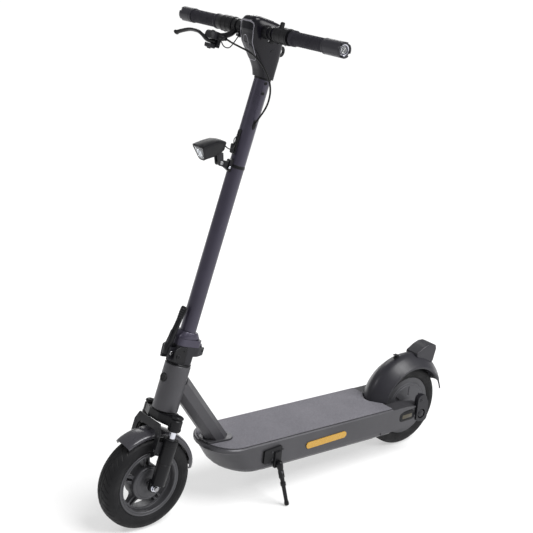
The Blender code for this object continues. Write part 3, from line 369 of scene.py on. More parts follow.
FRAME = paint("frame_paint", (0.061, 0.060, 0.066), 0.40, 0.45, (1500, 0.10), 0.25, shine=0.5)
STEM = paint("stem_paint", (0.042, 0.038, 0.058), 0.33, 0.45, (1700, 0.07), 0.2, coat=0.2, shine=0.4)
FORK = paint("fork_paint", (0.0058, 0.0058, 0.0072), 0.36, 0.1, (1300, 0.16), 0.35, shine=0.25)
# Brace: its edges lightened strongly, a painted highlight of polished edges.
BRACE = paint("brace_paint", (0.010, 0.010, 0.012), 0.34, 0.3, (1100, 0.14), 0.8)
RIM = paint("rim_paint", (0.056, 0.056, 0.061), 0.42, 0.45, (1500, 0.12), 0.4, shine=0.5)
COVER = paint("motor_cover_paint", (0.056, 0.056, 0.062), 0.46, 0.4, (1400, 0.14), 0.35, shine=0.5)
GLOSS = paint("gloss_black", (0.0055, 0.0050, 0.0080), 0.26, 0.0, (600, 0.03), 0.25, coat=0.12, vary=0.05,
              shine=0.22)
BLACK = paint("black_plastic", (0.0060, 0.0060, 0.0075), 0.40, 0.0, (1500, 0.30), 0.3, shine=0.22)
FENDER = paint("fender_plastic", (0.0185, 0.0180, 0.0230), 0.38, 0.0, (1700, 0.12), 0.25, coat=0.10)
FENDER_FRONT = paint(
    "front_fender_plastic", (0.0390, 0.0380, 0.0450), 0.26, 0.1, (1200, 0.05), 0.25, coat=0.4,
)
GREY = paint("grey_plastic", (0.0180, 0.0175, 0.0225), 0.36, 0.0, (1500, 0.20), 0.3)
DARK_GREY = paint("dark_grey_plastic", (0.0120, 0.0118, 0.0150), 0.40, 0.0, (1500, 0.20), 0.3)
LAMP = paint("lamp_plastic", (0.0060, 0.0060, 0.0075), 0.55, 0.0, (1500, 0.15), 0.2, shine=0.2)
TAN = paint("reflector_tan", (0.070, 0.062, 0.044), 0.35, 0.0, (900, 0.15), 0.1)
TRIM = paint("trim_grey", (0.170, 0.165, 0.190), 0.26, 0.5, (900, 0.05), 0.1, coat=0.3, shine=0.5)
CHROME = metal("chrome", (0.72, 0.73, 0.79), 0.10, (1, 1, 8), 0.03)
MIRROR = metal("reflector_bowl", (0.90, 0.91, 0.93), 0.06, None, 0.02)
STEEL = metal("steel", (0.36, 0.36, 0.37), 0.32)
DARK_STEEL = metal("dark_steel", (0.075, 0.075, 0.080), 0.36)
ALUMINIUM = metal("brushed_aluminium", (0.62, 0.62, 0.63), 0.32, (1, 12, 1))
TYRE = rubber("tyre_rubber", (0.0055, 0.0055, 0.0065), 0.60, 0.08)
GRIP = rubber("grip_rubber", (0.0135, 0.0125, 0.0190), 0.56, 0.08)
SEAL = rubber("seal_rubber", (0.0065, 0.0065, 0.0075), 0.55, 0.1)
CABLE = rubber("cable_sheath", (0.0045, 0.0045, 0.0055), 0.34, 0.05, (900, 0.1))
GRIT = grit_paint()
AMBER = reflector_paint("amber_reflector", (0.50, 0.285, 0.016), (0.38, 0.18, 0.006))
RED = reflector_paint("red_lens", (0.50, 0.012, 0.014), (0.22, 0.003, 0.004), 0.16)
LENS = lens_paint("clear_lens")
SCREEN = screen_paint()
WRAP = paint("battery_wrap", (0.02, 0.08, 0.20), 0.4, 0.0, (700, 0.1), 0.1)


# Building


def place_mesh(name, bm, look, body, replaces=(), matrix=None, bevel=0.0, angle=38):
    """The bmesh becomes a piece that rides on a body, if one is given; bevel rounds its edges."""
    if matrix is not None:
        bmesh.ops.transform(bm, matrix=matrix, verts=bm.verts)
    bmesh.ops.remove_doubles(bm, verts=bm.verts, dist=1e-6)
    bmesh.ops.recalc_face_normals(bm, faces=bm.faces)
    mesh = bpy.data.meshes.new(name)
    bm.to_mesh(mesh)
    bm.free()
    mesh.shade_smooth()
    mesh.set_sharp_from_angle(angle=radians(angle))
    mesh.materials.append(look)
    obj = bpy.data.objects.new(name, mesh)
    bpy.context.scene.collection.objects.link(obj)
    if bevel:
        add_bevel(obj, bevel, angle)
    if body:
        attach(obj, body)
    if replaces:
        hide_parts(*replaces)
    return obj


def add_bevel(obj, width, angle):
    made = obj.modifiers.new("bevel", "BEVEL")
    made.width = width
    made.segments = 2
    made.limit_method = "ANGLE"
    made.angle_limit = radians(angle)
    made.harden_normals = False


def around(count):
    """The cosine and sine of evenly spaced turns."""
    return [(cos(2 * pi * k / count), sin(2 * pi * k / count)) for k in range(count)]


def squircle(power, count):
    """Evenly turned points of a superellipse, whose half widths are 1."""
    made = []
    for c, w in around(count):
        reach = (abs(c) ** power + abs(w) ** power) ** (-1 / power)
        made.append((c * reach, w * reach))
    return made


def skin(bm, rings, closed=True, looped=False, caps=True):
    """Faces between neighbouring rings of points; looped joins the last ring to the first."""
    rows = [[bm.verts.new(point) for point in ring] for ring in rings]
    count = len(rows[0])
    pairs = list(zip(rows, rows[1:])) + ([(rows[-1], rows[0])] if looped else [])
    for low, high in pairs:
        for i in range(count if closed else count - 1):
            j = (i + 1) % count
            bm.faces.new((low[i], low[j], high[j], high[i]))
    if caps and not looped:
        bm.faces.new(rows[0])
        bm.faces.new(rows[-1])
    return rows


def lathe(bm, profile, steps=96, axis="Y", centre=(0, 0, 0), loop=True, shape=None):
    """Revolves (radius, along) points round an axis: a closed section, or one with its ends capped."""
    centre = Vector(centre)
    rings = []
    for k in range(steps):
        turn = 2 * pi * k / steps
        ring = []
        for radius, along in profile:
            if shape:
                radius, along = shape(turn, radius, along)
            a, b = radius * cos(turn), radius * sin(turn)
            point = {"Y": (a, along, b), "Z": (a, b, along), "X": (along, a, b)}[axis]
            ring.append(centre + Vector(point))
        rings.append(ring)
    if loop:
        skin(bm, rings, True, True)
        return
    rows = skin(bm, rings, False, True)
    for end in (0, -1):
        bm.faces.new([row[end] for row in rows])


def spline(points, per=6, closed=False):
    """Catmull-Rom points through the given ones."""
    points = [Vector(p) for p in points]
    count = len(points)
    made = []
    last = count if closed else count - 1
    for i in range(last):
        if closed:
            a, b, c, d = (points[(i + k) % count] for k in (-1, 0, 1, 2))
        else:
            b, c = points[i], points[i + 1]
            a = points[i - 1] if i else b + (b - c)
            d = points[i + 2] if i + 2 < count else c + (c - b)
        for k in range(per):
            t = k / per
            made.append(0.5 * (
                2 * b + (c - a) * t + (2 * a - 5 * b + 4 * c - d) * t * t + (3 * b - a - 3 * c + d) * t ** 3
            ))
    if not closed:
        made.append(points[-1])
    return made


def tube(bm, points, radius, sides=14, oval=1.0, up=(0, 0, 1)):
    """A round or oval bar along points; radius may be one number or one for each point."""
    points = [Vector(p) for p in points]
    rings = []
    across = None
    for i, point in enumerate(points):
        along = (points[min(i + 1, len(points) - 1)] - points[max(i - 1, 0)]).normalized()
        if across is None:
            across = along.cross(Vector(up))
            if across.length < 1e-3:
                across = along.cross(Vector((1, 0, 0)))
        across = (across - along * across.dot(along)).normalized()
        other = along.cross(across)
        size = radius[i] if isinstance(radius, (list, tuple)) else radius
        rings.append([point + across * (c * size) + other * (w * size * oval) for c, w in around(sides)])
    skin(bm, rings)


def outline_plate(bm, outline, low, high, matrix=None):
    """A flat outline (x, z) extruded along Y from low to high."""
    before = set(bm.verts)
    skin(bm, [[Vector((x, y, z)) for x, z in outline] for y in (low, high)])
    if matrix is not None:
        bmesh.ops.transform(bm, matrix=matrix, verts=[v for v in bm.verts if v not in before])


def rounded(points, radius, steps=5):
    """The outline with its corners rounded; radius is one number, or one for each point."""
    made = []
    count = len(points)
    for i in range(count):
        size = radius[i] if isinstance(radius, (list, tuple)) else radius
        p = Vector(points[i])
        a = Vector(points[i - 1]) - p
        b = Vector(points[(i + 1) % count]) - p
        if size <= 0:
            made.append(tuple(p))
            continue
        bend = a.angle(b)
        back = min(size / max(1e-6, abs(sin(bend / 2) / cos(bend / 2))), a.length * 0.48, b.length * 0.48)
        start, end = p + a.normalized() * back, p + b.normalized() * back
        for k in range(steps + 1):
            t = k / steps
            made.append(tuple(start * (1 - t) ** 2 + p * (2 * t * (1 - t)) + end * t * t))
    return made


def add_box(bm, centre, size, matrix=None):
    """A block; its piece's bevel rounds it."""
    half = Vector(size) / 2
    corners = ((-1, -1), (1, -1), (1, 1), (-1, 1))
    rings = [
        [Vector(centre) + Vector((x * half.x, y * half.y, z * half.z)) for x, y in corners] for z in (-1, 1)
    ]
    if matrix is not None:
        rings = [[matrix @ point for point in ring] for ring in rings]
    skin(bm, rings)


def frame_of(place, normal, turn=0.0):
    """A matrix whose local Z is the normal, for screws and plugs."""
    quat = Vector(normal).to_track_quat("Z", "Y")
    return Matrix.Translation(place) @ quat.to_matrix().to_4x4() @ Matrix.Rotation(turn, 4, "Z")


def screw(bm, place, normal, radius=0.004, height=0.0018):
    """A button head with a hexagon socket."""
    m = frame_of(place, normal)
    steps, sunk = 24, 0.0009
    profile = [
        (radius, 0), (radius, height * 0.45), (radius * 0.86, height * 0.85), (radius * 0.62, height),
    ]
    rings = [[m @ Vector((r * c, r * w, z)) for c, w in around(steps)] for r, z in profile]
    inner = []
    for k in range(steps):
        turn = 2 * pi * k / steps
        part = pi / 6
        reach = radius * 0.5 * cos(part) / cos((turn % (2 * part)) - part)
        inner.append((reach * cos(turn), reach * sin(turn)))
    rings.append([m @ Vector((x, y, height)) for x, y in inner])
    rings.append([m @ Vector((x, y, height - sunk)) for x, y in inner])
    skin(bm, rings)


def hexagon(bm, place, normal, radius, height, turn=0.0):
    """A nut with turned corners."""
    m = frame_of(place, normal, turn)
    levels = ((0.93, 0), (1, 0.14), (1, 0.86), (0.93, 1))
    skin(
        bm, [[m @ Vector((radius * r * c, radius * r * w, height * z)) for c, w in around(6)]
        for r, z in levels]
    )


def dress(look, *names, bevel=0.0005, angle=38):
    """A carried-over node: its facets are joined, its edges rounded, and it gets its material."""
    for name in names:
        obj = NODES[name]
        marks = obj.data.attributes
        if "custom_normal" in marks:
            marks.remove(marks["custom_normal"])
        obj.data.shade_smooth()
        weld = obj.modifiers.new("weld", "WELD")
        weld.merge_threshold = 1e-5
        if bevel:
            add_bevel(obj, bevel, angle)
        split = obj.modifiers.new("split", "EDGE_SPLIT")
        split.split_angle = radians(angle)
        even = obj.modifiers.new("even", "WEIGHTED_NORMAL")
        even.keep_sharp = True
        for slot in obj.material_slots:
            slot.material = look


# Wheels

TYRE_RADIUS = 0.1275
TREAD_CUTS = 42
TYRE_HALF = [
    (TYRE_RADIUS, 0.0000), (0.1274, 0.0060), (0.1268, 0.0120), (0.1246, 0.0190), (0.1195, 0.0258),
    (0.1130, 0.0300), (0.1060, 0.0315), (0.0990, 0.0308), (0.0930, 0.0284), (0.0896, 0.0262),
]
TYRE_INNER = [(0.0892, 0.0236), (0.0815, 0.0230), (0.0813, 0.0170), (0.0905, 0.0180), (0.0980, 0.0240)]


def tread(turn, radius, along):
    """Sinks slanted cuts and a waved line on each side of the middle, and raises the sidewall's ribs."""
    side = abs(along)
    if radius > 0.1195:
        pitch = 2 * pi / TREAD_CUTS
        slant = turn + side * 9.0 + (pitch / 2 if along > 0 else 0)
        gap = abs((slant % pitch) - pitch / 2) * TYRE_RADIUS
        reach = min(1.0, max(0.0, (side - 0.0065) / 0.002))
        radius -= 0.0015 * reach * min(1.0, max(0.0, (0.0017 - gap) / 0.0007))
        wave = 0.0048 + 0.0012 * sin(turn * TREAD_CUTS)
        line = abs(side - wave)
        radius -= 0.0014 * min(1.0, max(0.0, (0.0011 - line) / 0.0005))
    elif radius > 0.0930:
        for rib, depth in ((0.1165, 0.0005), (0.1085, 0.0006), (0.0975, 0.0008)):
            along += (1 if along > 0 else -1) * depth * max(0.0, 1 - abs(radius - rib) / 0.0010)
    return radius, along


def tyre(name, node, body, centre):
    half = spline([(r, y, 0) for r, y in TYRE_HALF], 7)
    half = [(p.x, p.y) for p in half]
    outer = [(r, -y) for r, y in reversed(half)] + half[1:]
    inner = TYRE_INNER + [(r, -y) for r, y in reversed(TYRE_INNER)]
    bm = bmesh.new()
    lathe(bm, outer + inner, 960, "Y", centre, True, tread)
    place_mesh(name, bm, TYRE, body, (node,), angle=42)


def mirrored(half):
    """A half section (radius, y), carried on to the other side."""
    return half + [(r, -y) for r, y in reversed(half) if y > 1e-9]


RIM_HALF = [
    (0.0809, 0.0225), (0.0855, 0.0226), (0.0886, 0.0240), (0.0890, 0.0262), (0.0880, 0.0274),
    (0.0858, 0.0276), (0.0842, 0.0262), (0.0822, 0.0260), (0.0812, 0.0272), (0.0790, 0.0274),
    (0.0774, 0.0262), (0.0768, 0.0230), (0.0764, 0.0140), (0.0740, 0.0104), (0.0705, 0.0100),
]
HUB_HALF = [
    (0.0066, 0.0245), (0.0125, 0.0245), (0.0132, 0.0236), (0.0200, 0.0236), (0.0212, 0.0244),
    (0.0365, 0.0236), (0.0378, 0.0226), (0.0388, 0.0236), (0.0430, 0.0234), (0.0452, 0.0218),
    (0.0464, 0.0190),
]


def front_rim():
    bm = bmesh.new()
    lathe(bm, mirrored(RIM_HALF), 144, "Y", FRONT_AXLE)
    lathe(bm, mirrored(HUB_HALF), 120, "Y", FRONT_AXLE)
    sections = (
        (0.0440, 0.0110, 0.0300), (0.0490, 0.0068, 0.0215), (0.0560, 0.0060, 0.0170),
        (0.0660, 0.0060, 0.0150), (0.0700, 0.0080, 0.0175), (0.0725, 0.0120, 0.0200),
    )
    for k in range(5):
        turn = radians(72 * k + 20)
        spin = Matrix.Translation(FRONT_AXLE) @ Matrix.Rotation(-turn, 4, "Y")
        for shift in (-0.0066, 0.0066):
            rings = []
            for reach, wide, deep in sections:
                corner = rounded(
                    [
                        (-wide / 2, -deep / 2), (wide / 2, -deep / 2), (wide / 2, deep / 2),
                        (-wide / 2, deep / 2),
                    ],
                    0.0022, 3,
                )
                rings.append([spin @ Vector((reach, y, shift + z)) for z, y in corner])
            skin(bm, rings)
    place_mesh("front_rim_cast", bm, RIM, "front_wheel", ("front_rim",), bevel=0.0003)

    bm = bmesh.new()
    out = Vector((cos(radians(56)), 0, sin(radians(56))))
    base = FRONT_AXLE + out * 0.0712
    tube(bm, [base, base - out * 0.006, base - out * 0.0062, base - out * 0.016, base - out * 0.017],
         [0.0042, 0.0036, 0.0026, 0.0026, 0.0012], 12)
    place_mesh("front_valve", bm, SEAL, "front_wheel")

    bm = bmesh.new()
    for k in range(5):
        turn = radians(72 * k + 56)
        place = FRONT_AXLE + Vector((cos(turn) * 0.0300, -0.0240, sin(turn) * 0.0300))
        screw(bm, place, (0, -1, 0), 0.0027, 0.0014)
    place_mesh("hub_screws", bm, FORK, "front_wheel")


def front_axle():
    bm = bmesh.new()
    lathe(
        bm,
        [
            (0.0060, -0.0585), (0.0052, -0.0600), (0.0001, -0.0600), (0.0001, 0.0600), (0.0052, 0.0600),
            (0.0060, 0.0585),
        ],
        32, "Y", FRONT_AXLE,
    )
    place_mesh("front_axle_bar", bm, STEEL, "fork_lowers")
    bm = bmesh.new()
    for side in (-1, 1):
        place = FRONT_AXLE + Vector((0, side * 0.0482, 0))
        lathe(
            bm,
            [
                (0.0062, side * 0.0482), (0.0104, side * 0.0482), (0.0106, side * 0.0494),
                (0.0062, side * 0.0496),
            ],
            40, "Y", FRONT_AXLE,
        )
        hexagon(bm, place + Vector((0, side * 0.0012, 0)), (0, side, 0), 0.0094, 0.0068, 0.3)
    place_mesh("front_axle_nuts", bm, CHROME, "fork_lowers", ("front_axle",), bevel=0.0003)


def disc_height(turn, radius):
    """How far the motor cover's face stands proud, by angle and radius."""
    if radius < 0.0640:
        face = 0.0300 - 0.0006 * (radius / 0.062) ** 2
    else:
        face = 0.0294 - 0.0026 * (radius - 0.0640) / 0.0102
    face -= 0.0009 * max(0.0, 1 - abs(radius - 0.0655) / 0.0012)
    face += 0.0006 * max(0.0, min(1.0, 1.6 - abs(radius - 0.0705) / 0.0014))
    face -= 0.0006 * max(0.0, 1 - abs(radius - 0.0225) / 0.0009)
    for k in range(6):
        middle = radians(60 * k + 34)
        off = (turn - middle + pi) % (2 * pi) - pi
        x, y = radius * cos(off), radius * sin(off)
        if k % 2 == 0:
            inside = min(0.0092 - abs(x - 0.0510), 0.0052 - abs(y))
        else:
            inside = min(0.0125 - abs(x - 0.0480), 0.0010 - abs(y))
            inside = max(inside, 0.0019 - hypot(x - 0.0600, y), 0.0019 - hypot(x - 0.0350, y))
        face -= (0.0030 if k % 2 == 0 else 0.0016) * min(1.0, max(0.0, (inside + 0.0004) / 0.0008))
    return face


def motor_cover():
    steps = 480
    bore, edge, cells = 0.0092, 0.0740, 88
    radii = [bore + (edge - bore) * i / cells for i in range(cells + 1)]
    bm = bmesh.new()
    rings = []
    for k in range(steps):
        turn = 2 * pi * k / steps
        ring = [REAR_AXLE + Vector((r * cos(turn), disc_height(turn, r), r * sin(turn))) for r in radii]
        for r, y in ((0.0742, 0.0262), (0.0742, 0.0226), (bore, 0.0226)):
            ring.append(REAR_AXLE + Vector((r * cos(turn), y, r * sin(turn))))
        rings.append(ring)
    skin(bm, rings, True, True)
    place_mesh("motor_cover_cast", bm, COVER, "rear_wheel", ("motor_cover",), angle=30)

    bm = bmesh.new()
    for k in range(6):
        turn = radians(60 * k)
        screw(
            bm, REAR_AXLE + Vector((0.0540 * cos(turn), -0.0300, 0.0540 * sin(turn))), (0, -1, 0), 0.0030,
            0.0015,
        )
    place_mesh("rear_hub_screws", bm, STEEL, "rear_wheel")


def fender_taper(turn):
    """The front fender's share of its full width: narrow at the tail, and a little narrower at the nose."""
    tail = max(0.0, turn - radians(136)) / radians(26)
    nose = max(0.0, radians(52) - turn) / radians(9)
    return 1 - 0.45 * tail ** 2 - 0.06 * nose ** 2


def front_fender():
    """A mudguard: its (radius, y) section carried round, with a thickened lip along both edges."""
    section = mirrored([
        (0.1305, 0.0305), (0.1330, 0.0308), (0.1365, 0.0292), (0.1400, 0.0235), (0.1422, 0.0160),
        (0.1434, 0.0085), (0.1438, 0.0),
    ])
    outer = [(p.x, p.y) for p in spline([(r, y, 0) for r, y in section], 5)]
    start, stop, steps = 43, 162, 90
    edge, wall, lip = section[0][1], 0.0024, 0.0016
    rings = []
    for k in range(steps + 1):
        turn = radians(start + (stop - start) * k / steps)
        taper = fender_taper(turn)
        ring = [Vector((r * cos(turn), y * taper, r * sin(turn))) for r, y in outer]
        for r, y in reversed(outer):
            inside = r - (wall + (lip if abs(y) > 0.90 * edge else 0))
            ring.append(Vector((inside * cos(turn), y * taper * (1 - wall / edge), inside * sin(turn))))
        rings.append(ring)
    bm = bmesh.new()
    skin(bm, rings)
    place_mesh(
        "front_fender_shell", bm, FENDER_FRONT, "fork_lowers", ("front_fender",), STEER,
        angle=45,
    )


# Dressing of the nodes that stay


def dress_nodes():
    dress(FRAME, "frame_neck", bevel=0.0012)
    dress(FRAME, "deck_shell", bevel=0.0010, angle=24)
    dress(RIM, "rear_rim", bevel=0.0006)
    dress(STEM, "stem_tube", "handlebar")
    dress(FORK, "fork_crown", "fork_lower_left", "fork_lower_right", bevel=0.0012)
    dress(DARK_GREY, "fold_base", bevel=0.0012)
    dress(STEM, "fold_collar", bevel=0.0012)
    dress(FORK, "kickstand_bracket", "lamp_bracket", bevel=0.0008)
    dress(BRACE, "fork_brace", bevel=0.0012)
    dress(SCREEN, "display")
    dress(BLACK, "switch_housing", "throttle_housing", "charge_socket", "fender_hook")
    dress(BLACK, "deck_bottom_cover", bevel=0.0008)
    dress(FENDER, "rear_fender", bevel=0.0006)
    dress(FENDER, "tail_light_housing", bevel=0.0020)
    dress(DARK_GREY, "dropout_cover_left", "dropout_cover_right", bevel=0.0012)
    dress(DARK_GREY, "throttle_paddle", "power_button")
    dress(CHROME, "fork_stanchion_left", "fork_stanchion_right", bevel=0.0004)
    dress(STEEL, "rear_axle", "fold_pin", "upper_headset_bearing",
          "lower_headset_bearing", bevel=0.0003)
    dress(ALUMINIUM, "motor_controller")
    dress(GRIP, "charge_cap")
    dress(GRIT, "deck_mat", bevel=0.0006)
    dress(AMBER, "side_reflector_left", "side_reflector_right", bevel=0.0010)
    dress(RED, "tail_light_lens", bevel=0.0008)
    dress(WRAP, "battery_pack")


# Handlebar

HEAD_LEVELS = (
    (1.0545, -0.0215, 0.0225, 0.0215), (1.0650, -0.0213, 0.0275, 0.0220), (1.0750, -0.0210, 0.0340, 0.0226),
    (1.1000, -0.0205, 0.0570, 0.0248), (1.1250, -0.0190, 0.0830, 0.0268), (1.1500, -0.0140, 0.0955, 0.0288),
    (1.1700, -0.0040, 0.0985, 0.0290), (1.1800, 0.0020, 0.0965, 0.0274), (1.1855, 0.0080, 0.0905, 0.0240),
    (1.1873, 0.0140, 0.0840, 0.0200),
)
HEAD_POWER = 4.2


def head_level(s):
    """Rear, front and half width of the head at a height on the steering axis."""
    for low, high in zip(HEAD_LEVELS, HEAD_LEVELS[1:]):
        if s <= high[0]:
            t = (s - low[0]) / (high[0] - low[0])
            return [a + (b - a) * t for a, b in zip(low[1:], high[1:])]
    return HEAD_LEVELS[-1][1:]


def head_front(y, s):
    rear, front, half = head_level(s)
    deep = (front - rear) / 2
    return rear + deep + deep * max(0.0, 1 - abs(y / half) ** HEAD_POWER) ** (1 / HEAD_POWER)


def head_shell():
    levels = spline([(a, b, c) for a, b, c, d in HEAD_LEVELS], 5)
    halves = spline([(a, d, 0) for a, b, c, d in HEAD_LEVELS], 5)
    rings = []
    for level, half in zip(levels, halves):
        s, rear, front = level
        deep = (front - rear) / 2
        rings.append([Vector((rear + deep + deep * x, half.y * y, s)) for x, y in squircle(HEAD_POWER, 72)])
    bm = bmesh.new()
    skin(bm, rings)
    place_mesh("head_shell", bm, GLOSS, "stem", ("head_housing",), STEER, angle=50)

    bm = bmesh.new()
    eye, hole = (
        [Vector((-0.0310 + wide * c, 0, 1.128 + tall * w)) for c, w in around(32)]
        for wide, tall in ((0.0102, 0.0135), (0.0055, 0.0055))
    )
    layers = ((eye, -0.0034), (eye, 0.0034), (hole, 0.0034), (hole, -0.0034))
    skin(bm, [[p + Vector((0, y, 0)) for p in loop] for loop, y in layers], True, True)
    add_box(bm, (-0.0195, 0, 1.128), (0.008, 0.0068, 0.024))
    place_mesh("head_eyelet", bm, FORK, "stem", (), STEER, bevel=0.0006)

    bm = bmesh.new()
    for side in (-1, 1):
        lathe(
            bm,
            [
                (BAR_RADIUS, side * 0.0300), (0.0160, side * 0.0270), (0.0166, side * 0.0330),
                (0.0150, side * 0.0400), (0.0150, side * 0.0425), (0.0136, side * 0.0440),
                (BAR_RADIUS, side * 0.0440),
            ],
            48, "Y", BAR,
        )
    place_mesh("bar_sockets", bm, FORK, "stem", (), STEER)

    bm = bmesh.new()
    for side in (-1, 1):
        slot = rounded([(-0.0045, -0.0022), (0.0045, -0.0022), (0.0045, 0.0022), (-0.0045, 0.0022)], 0.002)
        place = Matrix.Translation((0.018, side * 0.0262, 1.121)) @ Matrix.Rotation(0.6, 4, "Y")
        outline_plate(bm, slot, -0.0012, 0.0012, place)
        screw(bm, (0.0150, side * 0.0286, 1.150), (0, side, 0), 0.0026, 0.0010)
    place_mesh("head_side_screws", bm, BLACK, "stem", (), STEER)


def front_face():
    def half_width(s):
        return 0.0135 + 0.0095 * min(1.0, (s - 1.088) / 0.060)

    low, high = 1.0890, 1.1700
    rows = []
    for i in range(29):
        s = low + (high - low) * i / 28
        end = min(1.0, (high - s) / 0.006, (s - low) / 0.010)
        wide = half_width(s) * (0.62 + 0.38 * sqrt(max(0.0, 1 - (1 - end) ** 2)))
        rows.append([(wide * (j / 10 - 1), s) for j in range(21)])
    bm = bmesh.new()
    rings = []
    for row in rows:
        front = [Vector((head_front(y, s) + 0.0008, y, s)) for y, s in row]
        back = [Vector((head_front(y, s) - 0.0015, y, s)) for y, s in reversed(row)]
        rings.append(front + back)
    skin(bm, rings)
    place_mesh("front_glass", bm, SCREEN, "stem", ("front_panel",), STEER)

    edge = [row[0] for row in rows] + rows[-1][1:-1]
    edge += [row[-1] for row in reversed(rows)] + rows[0][-2:0:-1]
    loop = [Vector((head_front(y, s) + 0.0006, y, s)) for y, s in edge]
    rings = []
    count = len(loop)
    middle = Vector((0, 0, 1.130))
    for i, point in enumerate(loop):
        along = (loop[(i + 1) % count] - loop[i - 1]).normalized()
        out = along.cross(Vector((0.93, 0, -0.36))).normalized()
        if out.dot(point - middle) < 0:
            out = -out
        lift = along.cross(out)
        if lift.x < 0:
            lift = -lift
        wide = 0.0013 + 0.0012 * max(0.0, (point.z - 1.155) / 0.015)
        rings.append([point + out * (wide * (c + 0.7)) + lift * (0.0010 * w) for c, w in around(10)])
    bm = bmesh.new()
    skin(bm, rings, True, True)
    place_mesh("front_bezel", bm, TRIM, "stem", (), STEER, angle=60)

    bm = bmesh.new()
    rings = []
    ring_s = 1.1240
    for c, w in around(48):
        y = 0.0082 * w * (1 + 0.10 * c)
        s = ring_s + 0.0150 * c
        point = Vector((head_front(y, s) + 0.0010, y, s))
        rings.append([
            point + Vector((0.0007 * up, y * (0.10 * out), (s - ring_s) * (0.10 * out)))
            for out, up in around(8)
        ])
    skin(bm, rings, True, True)
    place_mesh("front_ring", bm, TRIM, "stem", (), STEER, angle=60)


def knurled(turn, radius, along):
    if radius < 0.0160:
        return radius, along
    a = turn * 16 / (2 * pi) + along / 0.0062
    b = turn * 16 / (2 * pi) - along / 0.0062
    near = min(abs(a % 1 - 0.5), abs(b % 1 - 0.5))
    return radius - 0.0008 * min(1.0, max(0.0, (0.17 - near) / 0.07)), along


def grip(name, node, inner, outer):
    way = 1 if outer > inner else -1
    steps = 176
    profile = [
        (BAR_RADIUS, inner), (0.0178, inner), (0.0190, inner + way * 0.0012),
        (0.0190, inner + way * 0.0095), (0.0172, inner + way * 0.0125),
    ]
    start, stop = inner + way * 0.0135, outer - way * 0.0010
    count = 150
    profile += [(0.0166, start + (stop - start) * i / count) for i in range(count + 1)]
    profile += [(0.0160, outer - way * 0.0001), (BAR_RADIUS, outer - way * 0.0001)]
    bm = bmesh.new()
    lathe(bm, profile, steps, "Y", BAR, True, knurled)
    place_mesh(name, bm, GRIP, "stem", (node,), STEER, angle=60)


def bar_end(name, node, side, inner):
    bm = bmesh.new()
    end = BAR_END
    shape = [
        (BAR_RADIUS, inner), (0.0176, inner), (0.0184, inner + 0.0010), (0.0184, inner + 0.0045),
        (0.0177, inner + 0.0052), (0.0177, inner + 0.0075), (0.0183, inner + 0.0082),
        (0.0185, end - 0.0120), (0.0185, end - 0.0070),
    ]

    def notched(turn, radius, along):
        """Four castle notches cut into the end crown."""
        if abs(along) > end - 0.0060:
            off = abs((turn + 0.4) % (pi / 2) - pi / 4)
            along -= side * 0.0046 * min(1.0, max(0.0, (0.19 - off) / 0.03))
        return radius, along

    crown = [
        (0.0185, end - 0.0008), (0.0180, end), (0.0152, end), (0.0146, end - 0.0008),
        (0.0146, end - 0.0068),
    ]
    inside = [(0.0146, end - 0.0075), (BAR_RADIUS, end - 0.0078)]
    profile = [(r, side * y) for r, y in shape + crown + inside]
    lathe(bm, profile, 144, "Y", BAR, True, notched)
    place_mesh(name, bm, GREY, "stem", (node,), STEER, angle=35)

    bm = bmesh.new()
    ring = [(0.0100, end - 0.0080), (0.0142, end - 0.0080), (0.0144, end - 0.0040), (0.0130, end - 0.0022),
            (0.0112, end - 0.0030), (0.0100, end - 0.0060)]
    lathe(bm, [(r, side * y) for r, y in ring], 64, "Y", BAR)
    place_mesh(name + "_ring", bm, CHROME, "stem", (), STEER)

    bm = bmesh.new()
    dome = [
        (0.0001, end - 0.0016), (0.0040, end - 0.0019), (0.0078, end - 0.0030), (0.0102, end - 0.0050),
        (0.0104, end - 0.0080), (0.0001, end - 0.0085),
    ]
    lathe(bm, [(r, side * y) for r, y in dome], 48, "Y", BAR)
    place_mesh(name + "_lens", bm, LENS, "stem", (), STEER)


